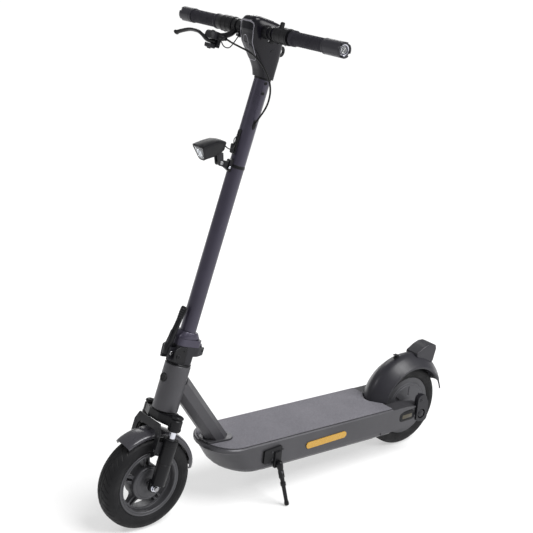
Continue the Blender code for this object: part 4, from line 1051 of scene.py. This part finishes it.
def bar_controls():
    bm = bmesh.new()
    for y0, y1 in ((-0.1350, -0.0890), (0.0720, 0.1200)):
        for share in (0.12, 0.5, 0.88):
            y = y0 + (y1 - y0) * share
            lathe(
                bm,
                [(0.0190, y - 0.0022), (0.0201, y - 0.0016), (0.0201, y + 0.0016), (0.0190, y + 0.0022)],
                64, "Y", BAR,
            )
    for y, s in ((-0.100, -0.0200), (-0.124, -0.0200), (0.082, -0.0200), (0.108, -0.0200)):
        screw(bm, (BAR.x, y, BAR.z + s), (0, 0, -1), 0.0028, 0.0012)
    place_mesh("control_bands", bm, FORK, "stem", (), STEER, bevel=0.0003)

    bm = bmesh.new()
    lathe(
        bm,
        [
            (BAR_RADIUS, -0.0560), (0.0150, -0.0560), (0.0162, -0.0575), (0.0162, -0.0700),
            (0.0150, -0.0715), (BAR_RADIUS, -0.0715),
        ],
        56, "Y", BAR,
    )
    lathe(
        bm,
        [
            (BAR_RADIUS, 0.0500), (0.0150, 0.0500), (0.0158, 0.0512), (0.0158, 0.0590), (0.0150, 0.0600),
            (BAR_RADIUS, 0.0600),
        ],
        56, "Y", BAR,
    )
    add_box(bm, (0.0545, -0.0640, 1.1380), (0.0150, 0.0120, 0.0100))
    add_box(bm, (0.0545, 0.0550, 1.1385), (0.0140, 0.0090, 0.0090))
    place_mesh("bar_clamps", bm, FORK, "stem", (), STEER, bevel=0.0012)

    bm = bmesh.new()
    screw(bm, (0.0545, -0.0640, 1.1328), (0, 0, -1), 0.0034, 0.0018)
    screw(bm, (0.0625, -0.0640, 1.1390), (1, 0, 0), 0.0030, 0.0014)
    screw(bm, (0.0625, 0.0550, 1.1390), (1, 0, 0), 0.0028, 0.0014)
    place_mesh("bar_clamp_screws", bm, STEEL, "stem", (), STEER)

    bm = bmesh.new()
    paddle = rounded(
        [(-0.0075, -0.0070), (0.0075, -0.0070), (0.0070, 0.0118), (-0.0070, 0.0118)],
        (0.001, 0.001, 0.005, 0.005),
    )
    rings = []
    for depth, size in ((-0.0020, 0.86), (-0.0012, 1.0), (0.0012, 1.0), (0.0020, 0.86)):
        rings.append([
            Vector((0.0640 + depth + 0.0014, 0.0900 + y * size, 1.1762 + z * size)) for y, z in paddle
        ])
    skin(bm, rings)
    tube(bm, [(0.0600, 0.0900, 1.1730), (0.0650, 0.0900, 1.1700)], 0.0030, 12)
    place_mesh(
        "bell_paddle", bm, BLACK, "bell_lever", ("bell_lever",), STEER, bevel=0.0004,
    )


def brake_parts():
    bm = bmesh.new()
    lathe(bm, [
        (BAR_RADIUS, -0.0740), (0.0168, -0.0740), (0.0180, -0.0752), (0.0180, -0.0868), (0.0168, -0.0880),
        (BAR_RADIUS, -0.0880),
    ], 56, "Y", BAR)
    arm = spline([
        (0.0600, -0.0810, 1.1440), (0.0680, -0.0840, 1.1330), (0.0790, -0.0940, 1.1240),
        (0.0890, -0.1080, 1.1200),
    ], 5)
    tube(bm, arm, 0.0085, 14, 0.8)
    place_mesh("brake_clamp", bm, FORK, "stem", ("brake_perch",), STEER, bevel=0.0006)

    bm = bmesh.new()
    body = rounded([
        (0.0760, -0.1010), (0.0990, -0.0970), (0.1040, -0.1110), (0.1020, -0.1400), (0.0860, -0.1430),
        (0.0780, -0.1290),
    ], (0.006, 0.006, 0.008, 0.006, 0.006, 0.006))
    perch_block(bm, body, (0.0910, -0.1195), (
        (1.1100, 0.94), (1.1112, 1.0), (1.1190, 1.0), (1.1262, 0.92), (1.1290, 0.74), (1.1294, 0.60),
    ))
    jaw = rounded([(0.0810, -0.1060), (0.0990, -0.1040), (0.1000, -0.1330), (0.0830, -0.1340)], 0.005)
    perch_block(bm, jaw, (0.0910, -0.1190), ((1.0880, 0.8), (1.0892, 0.95), (1.0950, 1.0), (1.0984, 0.98)))
    web = rounded([(0.0740, -0.1010), (0.0840, -0.1010), (0.0830, -0.1330), (0.0750, -0.1300)], 0.003)
    perch_block(bm, web, (0.0790, -0.1170), ((1.0920, 0.9), (1.0930, 1.0), (1.1150, 1.0), (1.1160, 0.9)))
    place_mesh("brake_perch_body", bm, DARK_GREY, "stem", (), STEER, angle=30)

    bm = bmesh.new()
    barrel = [
        (0.0001, -0.0680), (0.0034, -0.0680), (0.0048, -0.0700), (0.0048, -0.0790), (0.0066, -0.0800),
        (0.0066, -0.0900), (0.0056, -0.0910), (0.0056, -0.1040), (0.0001, -0.1040),
    ]
    lathe(bm, barrel, 28, "Y", (0.0875, 0, 1.1172), False, ribbed)
    nut = [(0.0001, 1.0855), (0.0042, 1.0855), (0.0050, 1.0866), (0.0050, 1.0890), (0.0001, 1.0890)]
    lathe(bm, nut, 28, "Z", (0.092, -0.1200, 0), False)
    screw(bm, (0.0920, -0.1200, 1.1293), (0, 0, 1), 0.0046, 0.0020)
    screw(bm, (0.1026, -0.1100, 1.1160), (1, 0.1, 0), 0.0030, 0.0014)
    place_mesh("brake_adjuster", bm, FORK, "stem", (), STEER)

    bm = bmesh.new()
    route = spline([
        (0.0870, -0.1060, 1.1040), (0.0930, -0.1160, 1.1042), (0.0990, -0.1280, 1.1052),
        (0.1030, -0.1430, 1.1130), (0.1035, -0.1620, 1.1185), (0.1010, -0.1840, 1.1195),
        (0.0990, -0.2060, 1.1185), (0.1005, -0.2280, 1.1125), (0.1030, -0.2440, 1.1060),
        (0.1042, -0.2540, 1.1020),
    ], 6)
    count = len(route) - 1
    tube(bm, route, [blade_size(i / count) for i in range(count + 1)], 20, 0.66, (0, 0, 1))
    place_mesh("brake_blade", bm, FORK, "brake_lever", ("brake_lever",), STEER)


def perch_block(bm, outline, middle, levels):
    """An outline (x, y) stacked at heights, scaled about its middle at each."""
    middle = Vector(middle)
    skin(bm, [
        [
            Vector((middle.x + (x - middle.x) * grow, middle.y + (y - middle.y) * grow, z))
            for x, y in outline
        ]
        for z, grow in levels
    ])


def ribbed(turn, radius, along):
    """Finger ribs on the widest part of the cable adjuster."""
    if radius > 0.006 and cos(turn * 14) > 0.3:
        radius *= 0.95
    return radius, along


def blade_size(t):
    """The brake blade's half width: thick at the root, slim along the fingers, a ball at the tip."""
    size = 0.0082 - 0.0019 * min(1.0, t / 0.35)
    if t > 0.90:
        size += 0.0022 * sin(pi * (t - 0.90) / 0.10) - 0.0034 * max(0.0, (t - 0.97) / 0.03)
    return size


CABLE_ROUTE = (
    (0.0870, -0.0700, 1.1175), (0.0885, -0.0450, 1.1110), (0.0870, -0.0100, 1.1070),
    (0.0800, 0.0140, 1.1045), (0.0680, 0.0280, 1.0995), (0.0500, 0.0395, 1.0870), (0.0300, 0.0500, 1.0650),
    (0.0170, 0.0555, 1.0450), (0.0120, 0.0555, 1.0300), (0.0100, 0.0600, 1.0080), (0.0100, 0.0565, 0.9900),
    (0.0110, 0.0520, 0.9770), (0.0110, 0.0420, 0.9620), (0.0060, 0.0310, 0.9500), (0.0020, 0.0235, 0.9440),
)


def cables():
    bm = bmesh.new()
    eased = [Vector(p) for p in CABLE_ROUTE]
    for _ in range(2):
        eased = [eased[0]] + [(a + b * 2 + c) / 4 for a, b, c in zip(eased, eased[1:], eased[2:])] + [
            eased[-1],
        ]
    tube(bm, spline(eased, 8), 0.0023, 14)
    place_mesh("brake_cable_smooth", bm, CABLE, "stem", ("brake_cable",), STEER, angle=70)

    bm = bmesh.new()
    wire = spline(
        [
            (0.0800, -0.0980, 1.1120), (0.0740, -0.0860, 1.1000), (0.0700, -0.0700, 1.1010),
            (0.0660, -0.0620, 1.1180), (0.0600, -0.0600, 1.1360),
        ],
        8,
    )
    tube(bm, wire, 0.0014, 10)
    place_mesh("sensor_wire", bm, CABLE, "stem", (), STEER, angle=70)

    bm = bmesh.new()
    oval = [(0.0048 * c, 0.0125 * w) for c, w in around(32)]
    rings = []
    for y, grow in ((0.0180, 1.0), (0.0212, 1.0), (0.0222, 0.90), (0.0228, 0.55), (0.0236, 0.40)):
        rings.append([
            Vector((0.0010 + x * grow, y, 0.9400 + z * grow * (0.9 if y > 0.0225 else 1))) for x, z in oval
        ])
    skin(bm, rings)
    place_mesh("cable_grommet", bm, SEAL, "stem", (), STEER)

    bm = bmesh.new()
    for s in (1.0430, 1.0180):
        screw(bm, (0.0030, 0.0201, s), (0.15, 1, 0), 0.0042, 0.0017)
    place_mesh("stem_screws", bm, BLACK, "stem", (), STEER)

    bm = bmesh.new()
    lathe(bm, [(0.0202, 1.0495), (0.0212, 1.0500), (0.0212, 1.0545), (0.0202, 1.0548)], 72, "Z")
    place_mesh("head_foot_ring", bm, BLACK, "stem", (), STEER)


# Lamp


def lamp_section(top, bottom, wide_top, wide_bottom):
    """A rounded trapezoid standing between a top and a bottom point, as 40 points."""
    corner = 0.0085
    top, bottom = Vector((top[0], 0, top[1])), Vector((bottom[0], 0, bottom[1]))
    down = bottom - top
    size = down.length
    shape = rounded([(-wide_top, 0), (wide_top, 0), (wide_bottom, size), (-wide_bottom, size)],
                    (corner * 0.55, corner * 0.55, corner, corner), 9)
    return [top + down * (z / size) + Vector((0, y, 0)) for y, z in shape]


def lamp():
    upright = Matrix.Translation(LAMP_AXIS)
    stations = (
        ((-0.0075, 0.0500), (-0.0085, 0.0350), 0.0100, 0.0070),
        ((-0.0060, 0.0520), (-0.0050, 0.0285), 0.0145, 0.0090),
        ((0.0020, 0.0550), (0.0040, 0.0228), 0.0195, 0.0100),
        ((0.0200, 0.0568), (0.0240, 0.0158), 0.0222, 0.0100),
        ((0.0420, 0.0530), (0.0400, 0.0130), 0.0229, 0.0105),
        ((0.0600, 0.0484), (0.0480, 0.0118), 0.0230, 0.0112),
        ((0.0676, 0.0462), (0.0518, 0.0106), 0.0230, 0.0118),
        ((0.0690, 0.0455), (0.0532, 0.0100), 0.0224, 0.0112),
    )
    rings = [lamp_section(*station) for station in stations]
    face = rings[-1]
    middle = sum(face, Vector()) / len(face)
    inward = Vector((-0.915, 0, 0.404))
    for share, depth in ((0.86, 0.0002), (0.84, 0.0014), (0.80, 0.0050), (0.60, 0.0120), (0.2, 0.0130)):
        rings.append([middle + (p - middle) * share + inward * depth for p in face])
    bm = bmesh.new()
    skin(bm, rings)
    place_mesh("lamp_shell", bm, BLACK, "lamp", ("lamp_housing",), upright, angle=42)

    bm = bmesh.new()
    rings = [
        [middle + (p - middle) * share + inward * depth for p in face]
        for share, depth in ((0.83, 0.0040), (0.79, 0.0042), (0.62, 0.0085), (0.30, 0.0112), (0.12, 0.0116))
    ]
    rings.append([middle + (p - middle) * 0.12 + inward * 0.0122 for p in face])
    rings.append([middle + (p - middle) * 0.80 + inward * 0.0049 for p in face])
    skin(bm, rings, True, True)
    for y in (-0.0085, 0.0, 0.0085):
        add_box(bm, middle + inward * 0.0060 + Vector((0, y, 0)), (0.0026, 0.0006, 0.0220))
    place_mesh("lamp_bowl", bm, MIRROR, "lamp", (), upright, angle=25)

    bm = bmesh.new()
    rings = [
        [middle + (p - middle) * share + inward * depth for p in face]
        for share, depth in ((0.80, 0.0026), (0.85, 0.0022), (0.85, 0.0006), (0.80, 0.0001), (0.4, -0.0008))
    ]
    skin(bm, rings)
    place_mesh("lamp_glass", bm, LENS, "lamp", ("lamp_lens",), upright, angle=42)

    bm = bmesh.new()
    cap = []
    drop = 0.0062
    for (tx, tz), (bx, bz), wide, low in stations[1:-1]:
        tip = Vector((tx, 0, tz))
        down = (Vector((bx, 0, bz)) - tip).normalized()
        wide += 0.0006
        narrow = wide - (wide - low) * drop / 0.040
        ring = []
        for y, z in (
            (-narrow, drop), (-wide, 0.0012), (-wide + 0.0030, -0.0007), (0, -0.0013),
            (wide - 0.0030, -0.0007), (wide, 0.0012), (narrow, drop), (narrow - 0.0010, drop), (0, 0.0008),
            (-narrow + 0.0010, drop),
        ):
            ring.append(tip + down * z + Vector((0, y, 0)))
        cap.append(ring)
    skin(bm, cap)
    place_mesh("lamp_roof", bm, LAMP, "lamp", (), upright, bevel=0.0004)

    bm = bmesh.new()
    for side in (-1, 1):
        cheek = rounded(
            [(-0.0078, -0.0078), (0.0078, -0.0078), (0.0135, 0.0250), (-0.0040, 0.0250)],
            (0.0075, 0.0075, 0, 0),
        )
        low, high = sorted((side * 0.0046, side * 0.0088))
        outline_plate(bm, cheek, low, high)
    place_mesh("lamp_cheeks", bm, DARK_GREY, "lamp", (), upright, bevel=0.0010)
    bm = bmesh.new()
    for side in (-1, 1):
        screw(bm, (0, side * 0.0088, 0), (0, side, 0), 0.0048, 0.0022)
    place_mesh("lamp_pivot_screw", bm, STEEL, "lamp", (), upright)

    bm = bmesh.new()
    lathe(bm, [(0.0203, 0.8256), (0.0212, 0.8262), (0.0212, 0.8338), (0.0203, 0.8344)], 72, "Z")
    boss = rounded([(0.0180, 0.8140), (0.0300, 0.8170), (0.0300, 0.8430), (0.0180, 0.8460)], 0.004)
    outline_plate(bm, boss, -0.0072, 0.0072)
    place_mesh("lamp_clamp", bm, FORK, "stem", (), STEER, bevel=0.0008)
    bm = bmesh.new()
    for y in (-0.0074, 0.0074):
        screw(bm, (0.0268, y, 0.8245), (0, y, 0), 0.0036, 0.0018)
    place_mesh("lamp_clamp_screw", bm, CHROME, "stem", (), STEER)

    bm = bmesh.new()
    plug = [(0.0245, 0.8580), (0.0320, 0.8600), (0.0355, 0.8820), (0.0280, 0.8840)]
    outline_plate(bm, rounded(plug, 0.0032), -0.0036, 0.0036)
    strip = [(0.0195, 0.8560), (0.0245, 0.8600), (0.0240, 0.9180), (0.0195, 0.9220)]
    outline_plate(bm, rounded(strip, 0.0020), -0.0050, 0.0050)
    place_mesh("lamp_connector", bm, BLACK, "stem", (), STEER, bevel=0.0010)
    bm = bmesh.new()
    wire = spline(
        [
            (0.0300, 0.0010, 0.8830), (0.0345, 0.0030, 0.8930), (0.0310, 0.0045, 0.9010),
            (0.0235, 0.0020, 0.9050),
        ],
        8,
    )
    tube(bm, wire, 0.0013, 10)
    place_mesh("lamp_wire_stem", bm, CABLE, "stem", (), STEER, angle=70)

    # From inside the lamp's rear down to its connector on the stem, so it bends across lamp_tilt
    bm = bmesh.new()
    loop = spline(
        [
            (0.0650, 0.0020, 0.8745), (0.0590, 0.0035, 0.8735), (0.0520, 0.0070, 0.8695),
            (0.0440, 0.0100, 0.8680), (0.0370, 0.0105, 0.8725), (0.0310, 0.0080, 0.8800),
            (0.0260, 0.0040, 0.8850), (0.0220, 0.0010, 0.8870),
        ],
        8,
    )
    tube(bm, loop, 0.0014, 10)
    flexing = place_mesh("lamp_wire_loop", bm, CABLE, None, (), STEER, angle=70)
    start, end = STEER @ Vector((0.0270, 0.0040, 0.8840)), STEER @ Vector((0.0560, 0.0050, 0.8720))
    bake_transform(flexing, "stem", "lamp", tuple(start), tuple(end))


# Fork and fold


def fork_details():
    bm = bmesh.new()
    for side in (-1, 1):
        at = (0, side * LEG_Y, 0)
        lathe(
            bm,
            [
                (0.0001, 0.1905), (0.0160, 0.1905), (0.0164, 0.1912), (0.0164, 0.1935), (0.0156, 0.1950),
                (0.0120, 0.1972), (0.0096, 0.1978), (0.0090, 0.1966), (0.0001, 0.1966),
            ],
            56, "Z", at, False,
        )
        lathe(
            bm, [(0.0160, 0.1600), (0.0170, 0.1606), (0.0172, 0.1630), (0.0170, 0.1654), (0.0160, 0.1660)],
            56, "Z", at,
        )
        hexagon(bm, Vector((0, side * LEG_Y, 0.1964)), (0, 0, 1), 0.0058, 0.0022)
    place_mesh("fork_caps", bm, FORK, "steering", (), STEER)

    bm = bmesh.new()
    for side in (-1, 1):
        at = (0, side * LEG_Y, 0)
        lathe(
            bm,
            [
                (0.0101, 0.1342), (0.0172, 0.1342), (0.0190, 0.1346), (0.0190, 0.1354), (0.0130, 0.1364),
                (0.0101, 0.1364),
            ],
            56, "Z", at,
        )
    place_mesh("fork_seals", bm, SEAL, "fork_lowers", (), STEER)
    bm = bmesh.new()
    for side in (-1, 1):
        at = (0, side * LEG_Y, 0)
        lathe(
            bm, [(0.0193, 0.1200), (0.0203, 0.1208), (0.0205, 0.1320), (0.0200, 0.1336), (0.0192, 0.1339)],
            64, "Z", at,
        )
        lathe(bm, [(0.0193, 0.0700), (0.0197, 0.0704), (0.0197, 0.0712), (0.0193, 0.0716)], 64, "Z", at)
    place_mesh("fork_collars", bm, FORK, "fork_lowers", (), STEER)

    bm = bmesh.new()
    for side in (-1, 1):
        for n, y, s in ((0.0400, 0.0510, 0.1010), (0.0400, 0.0510, 0.1390)):
            screw(bm, (n - 0.0004, side * y, s), (1, 0, 0), 0.0036, 0.0018)
    place_mesh("brace_bolts", bm, DARK_STEEL, "fork_lowers", (), STEER)

    bm = bmesh.new()
    for s, r in ((0.1885, 0.0290), (0.3175, 0.0318)):
        lathe(
            bm,
            [(r - 0.008, s), (r, s), (r + 0.0012, s + 0.0012), (r, s + 0.0026), (r - 0.008, s + 0.0026)],
            72, "Z",
        )
    place_mesh("headset_covers", bm, BLACK, "steering", (), STEER)

    bm = bmesh.new()
    lathe(
        bm,
        [
            (0.0001, 0.0290), (0.0116, 0.0290), (0.0116, 0.0346), (0.0108, 0.0358), (0.0084, 0.0358),
            (0.0078, 0.0348), (0.0040, 0.0348), (0.0034, 0.0354), (0.0001, 0.0354),
        ],
        56, "X", (0, 0, 0.277), False,
    )
    place_mesh("head_tube_plug", bm, SEAL, "frame", (), STEER)


def fork_springs():
    """The springs in the fork legs; the real ones shorten as the lowers slide up, these coils keep their
    length.
    """
    turns, low, high, travel = 5, 0.0225, 0.0560, 0.020
    count = turns * 20
    for name, side in (("fork_spring_left", 1), ("fork_spring_right", -1)):
        coil = []
        for i in range(count + 1):
            turn = 2 * pi * turns * i / count
            at = (0.0078 * cos(turn), side * LEG_Y + 0.0078 * sin(turn), low + (high - low) * i / count)
            coil.append(at)
        bm = bmesh.new()
        tube(bm, coil, 0.0012, 8)
        spring = place_mesh(name + "_coil", bm, STEEL, "steering", (name,), STEER)
        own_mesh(spring)


def fold_details():
    bm = bmesh.new()
    for side in (-1, 1):
        cheek = rounded(
            [(0.0030, 0.3250), (0.0420, 0.3250), (0.0440, 0.3560), (0.0300, 0.3660), (0.0060, 0.3660)],
            (0.004, 0.008, 0.006, 0.004, 0.004),
        )
        low, high = sorted((side * 0.0248, side * 0.0285))
        outline_plate(bm, cheek, low, high)
    place_mesh("fold_cheeks", bm, FORK, "steering", (), STEER, bevel=0.0014)

    bm = bmesh.new()
    for side in (-1, 1):
        screw(bm, (0.0300, side * 0.0284, 0.3400), (0, side, 0), 0.0062, 0.0020)
        screw(bm, (0.0150, side * 0.0284, 0.3560), (0, side, 0), 0.0030, 0.0012)
        screw(bm, (-0.0470, side * 0.0180, 0.3600), (0, side, 0), 0.0050, 0.0016)
    place_mesh("fold_screws", bm, BLACK, "steering", (), STEER)

    bm = bmesh.new()
    rings = []
    for s, r_front, half, rear in (
        (0.3862, 0.0325, 0.0250, -0.0330), (0.3900, 0.0318, 0.0262, -0.0330),
        (0.3945, 0.0290, 0.0252, -0.0300), (0.4010, 0.0255, 0.0238, -0.0255),
        (0.4030, 0.0240, 0.0228, -0.0240),
    ):
        rings.append([Vector(((r_front if x > 0 else -rear) * x, half * y, s)) for x, y in squircle(3, 64)])
    inner = [Vector((0.0207 * c, 0.0207 * w, 0.4030)) for c, w in around(64)]
    rings.append(inner)
    rings.append([Vector((p.x, p.y, 0.3862)) for p in inner])
    skin(bm, rings, True, True)
    place_mesh("fold_crown", bm, STEM, "stem", (), STEER, angle=32)


def latch():
    """The latch lever: a tapered bar up the front of the stem with a ribbed thumb pad."""
    place = STEER @ Matrix.Translation((0.045, 0, 0.345))
    spine = (
        (0.0025, -0.0070, 0.0086, 0.0085), (0.0030, 0.0060, 0.0086, 0.0092),
        (0.0020, 0.0220, 0.0086, 0.0082), (-0.0010, 0.0420, 0.0080, 0.0068),
        (-0.0050, 0.0640, 0.0074, 0.0056), (-0.0085, 0.0860, 0.0080, 0.0048),
        (-0.0110, 0.1030, 0.0104, 0.0040), (-0.0128, 0.1140, 0.0108, 0.0034),
        (-0.0140, 0.1180, 0.0090, 0.0024),
    )
    points = spline([(x, z, 0) for x, z, wide, deep in spine], 5)
    sizes = spline([(wide, deep, 0) for x, z, wide, deep in spine], 5)
    bm = bmesh.new()
    skin(bm, [
        [Vector((point.x + size.y * x, size.x * y, point.y)) for x, y in squircle(3.4, 32)]
        for point, size in zip(points, sizes)
    ])
    place_mesh("latch_arm", bm, FORK, "latch_lever", ("latch_lever",), place, angle=40)
    bm = bmesh.new()
    for i in range(5):
        z = 0.0900 + i * 0.0055
        x = -0.0088 - (z - 0.0860) * 0.16 + 0.0044
        tube(bm, [(x, -0.0078, z), (x, 0.0078, z)], 0.0009, 8)
    hollow = rounded([(-0.0040, 0.0200), (0.0040, 0.0200), (0.0034, 0.0560), (-0.0034, 0.0560)], 0.003)
    rings = []
    for lift, grow in ((0.0, 1.0), (0.0008, 0.9)):
        rings.append([
            Vector((0.0080 - (z - 0.02) * 0.11 + lift + 0.0015, y * grow, 0.038 + (z - 0.038) * grow))
            for y, z in hollow
        ])
    skin(bm, rings)
    place_mesh("latch_pad", bm, DARK_GREY, "latch_lever", (), place)
    bm = bmesh.new()
    for side in (-1, 1):
        screw(bm, (0.0, side * 0.0162, 0.0), (0, side, 0), 0.0052, 0.0018)
    place_mesh("latch_pin_heads", bm, STEEL, "steering", (), place)


# Deck and rear


def fender_band():
    bm = bmesh.new()
    for side in (-1, 1):
        rings = []
        for k in range(97):
            turn = radians(15 + (160 - 15) * k / 96)
            ring = []
            for r, y in (
                (0.1170, 0.0462), (0.1170, 0.0472), (0.1180, 0.0476), (0.1222, 0.0470), (0.1228, 0.0462),
                (0.1220, 0.0454),
            ):
                ring.append(FENDER_CENTRE + Vector((-r * cos(turn), side * y, r * sin(turn))))
            rings.append(ring)
        skin(bm, rings)
    place_mesh("fender_edge_bands", bm, FENDER, "frame", (), angle=40)


def arm_details():
    axle = REAR_AXLE
    outer = rounded(
        [(0.026, -0.0110), (0.088, -0.0110), (0.088, 0.0190), (0.026, 0.0190)],
        (0.010, 0.014, 0.014, 0.010), 8,
    )
    inner = rounded(
        [(0.031, -0.0060), (0.084, -0.0060), (0.084, 0.0140), (0.031, 0.0140)],
        (0.006, 0.0098, 0.0098, 0.006), 8,
    )
    bm = bmesh.new()
    for side in (-1, 1):
        rings = []
        for loop, y in ((outer, 0.0884), (outer, 0.0892), (inner, 0.0904), (inner, 0.0884)):
            rings.append([axle + Vector((x, side * y, z)) for x, z in loop])
        skin(bm, rings, True, True)
    place_mesh("arm_slot_frames", bm, FORK, "frame", (), bevel=0.0004)

    bm = bmesh.new()
    for side in (-1, 1):
        rings = []
        for y, grow in ((0.0870, 1.0), (0.0892, 1.0), (0.0896, 0.94)):
            rings.append([
                axle + Vector((0.0575 + (x - 0.0575) * grow, side * y, 0.004 + (z - 0.004) * grow))
                for x, z in inner
            ])
        skin(bm, rings)
    place_mesh("arm_slot_floors", bm, BLACK, "frame", ())

    bm = bmesh.new()
    for side in (-1, 1):
        plate = rounded([(0.037, -0.0020), (0.076, -0.0020), (0.076, 0.0100), (0.037, 0.0100)], 0.003, 6)
        rings = []
        for y, grow in ((0.0880, 1.0), (0.0897, 1.0), (0.0901, 0.95)):
            rings.append([
                axle + Vector((0.0565 + (x - 0.0565) * grow, side * y, 0.004 + (z - 0.004) * grow))
                for x, z in plate
            ])
        skin(bm, rings)
    place_mesh("arm_inserts", bm, TAN, "frame", ())

    bm = bmesh.new()
    for side in (-1, 1):
        hexagon(bm, axle + Vector((0, side * 0.0870, 0)), (0, side, 0), 0.0128, 0.0054, 0.2)
        cap = [(0.0090, 0.0925), (0.0001, 0.0925), (0.0001, 0.0935), (0.0070, 0.0935)]
        lathe(bm, [(radius, side * y) for radius, y in cap], 32, "Y", axle)
        screw(bm, axle + Vector((0.0050, side * 0.0936, 0.0440)), (0, side, 0), 0.0052, 0.0014)
    place_mesh("axle_nut_caps", bm, DARK_GREY, "frame", (), bevel=0.0006)


def kickstand_details():
    bm = bmesh.new()
    for x, z in ((0.094, -0.0250), (0.130, -0.0280), (0.128, -0.0500)):
        screw(bm, DECK @ Vector((x - 0.0145, 0.0954, z)), (0, 1, 0), 0.0034, 0.0016)
    place_mesh("kickstand_screws", bm, DARK_STEEL, "frame", ())
    along = (STAND_FOOT - STAND_PIVOT).normalized()
    side = along.cross(Vector((0, 1, 0))).normalized()
    out = side.cross(along).normalized()
    length = (STAND_FOOT - STAND_PIVOT).length

    bm = bmesh.new()
    stations = (
        (-0.0080, 0.0060), (-0.0060, 0.0082), (0.0000, 0.0095), (0.0100, 0.0088), (0.0200, 0.0066),
        (0.0500, 0.0058), (0.0860, 0.0054), (length - 0.0080, 0.0052), (length - 0.0050, 0.0062),
        (length + 0.0010, 0.0068), (length + 0.0044, 0.0060), (length + 0.0056, 0.0040),
    )
    tube(
        bm, [STAND_PIVOT + along * reach for reach, size in stations], [size
        for reach, size in stations], 24
    )
    place_mesh("kickstand_bar", bm, FORK, "kickstand", ("kickstand_leg",), angle=50)

    bm = bmesh.new()
    coil = []
    for k in range(14 * 9 + 1):
        turn = 2 * pi * k / 14
        spread = side * (0.0074 * cos(turn)) + out * (0.0074 * sin(turn))
        coil.append(STAND_PIVOT + along * (0.0180 + 0.0024 * k / 14) + spread)
    tube(bm, coil, 0.0008, 8)
    place_mesh("kickstand_spring", bm, DARK_STEEL, "kickstand", ())

    bm = bmesh.new()
    rings = []
    for t, size in ((0.455, 0.0064), (0.46, 0.0076), (0.54, 0.0076), (0.545, 0.0064)):
        centre = STAND_PIVOT + (STAND_FOOT - STAND_PIVOT) * t
        rings.append([centre + side * (size * c) + out * (size * w) for c, w in around(24)])
    skin(bm, rings)
    place_mesh("kickstand_collar", bm, FORK, "kickstand", (), bevel=0.0004)


def tail_details():
    bm = bmesh.new()
    line = spline(
        [(-0.0240, 0.1540, 0), (-0.0470, 0.1660, 0), (-0.0680, 0.1725, 0), (-0.0860, 0.1715, 0)], 8,
    )
    for side in (-1, 1):
        tube(bm, [FENDER_CENTRE + Vector((p.x, side * 0.0226, p.y - 0.0050)) for p in line], 0.0011, 8)
    place_mesh("tail_light_seams", bm, GREY, "frame", (), angle=70)
    bm = bmesh.new()
    downward = DECK.to_3x3() @ Vector((0, 0, -1))
    for x, y in ((-0.0800, 0.0790), (0.1500, 0.0790), (0.0300, 0.0790), (-0.2600, 0.0600)):
        for side in (1, -1):
            screw(bm, DECK @ Vector((x, side * y * 0.9, -0.0828)), downward, 0.0036, 0.0012)
    place_mesh("cover_screws", bm, STEEL, "frame", ())


add_camera()
add_studio()
dress_nodes()
tyre("front_tyre_treaded", "front_tyre", "front_wheel", FRONT_AXLE)
tyre("rear_tyre_treaded", "rear_tyre", "rear_wheel", REAR_AXLE)
front_rim()
front_axle()
motor_cover()
front_fender()
head_shell()
front_face()
grip("grip_left_knurled", "grip_left", 0.1270, 0.2400)
grip("grip_right_knurled", "grip_right", -0.1520, -0.2580)
bar_end("bar_end_left", "bar_end_light_left", 1, 0.2405)
bar_end("bar_end_right", "bar_end_light_right", -1, 0.2585)
bar_controls()
brake_parts()
cables()
lamp()
fork_details()
fork_springs()
fold_details()
latch()
fender_band()
arm_details()
kickstand_details()
tail_details()
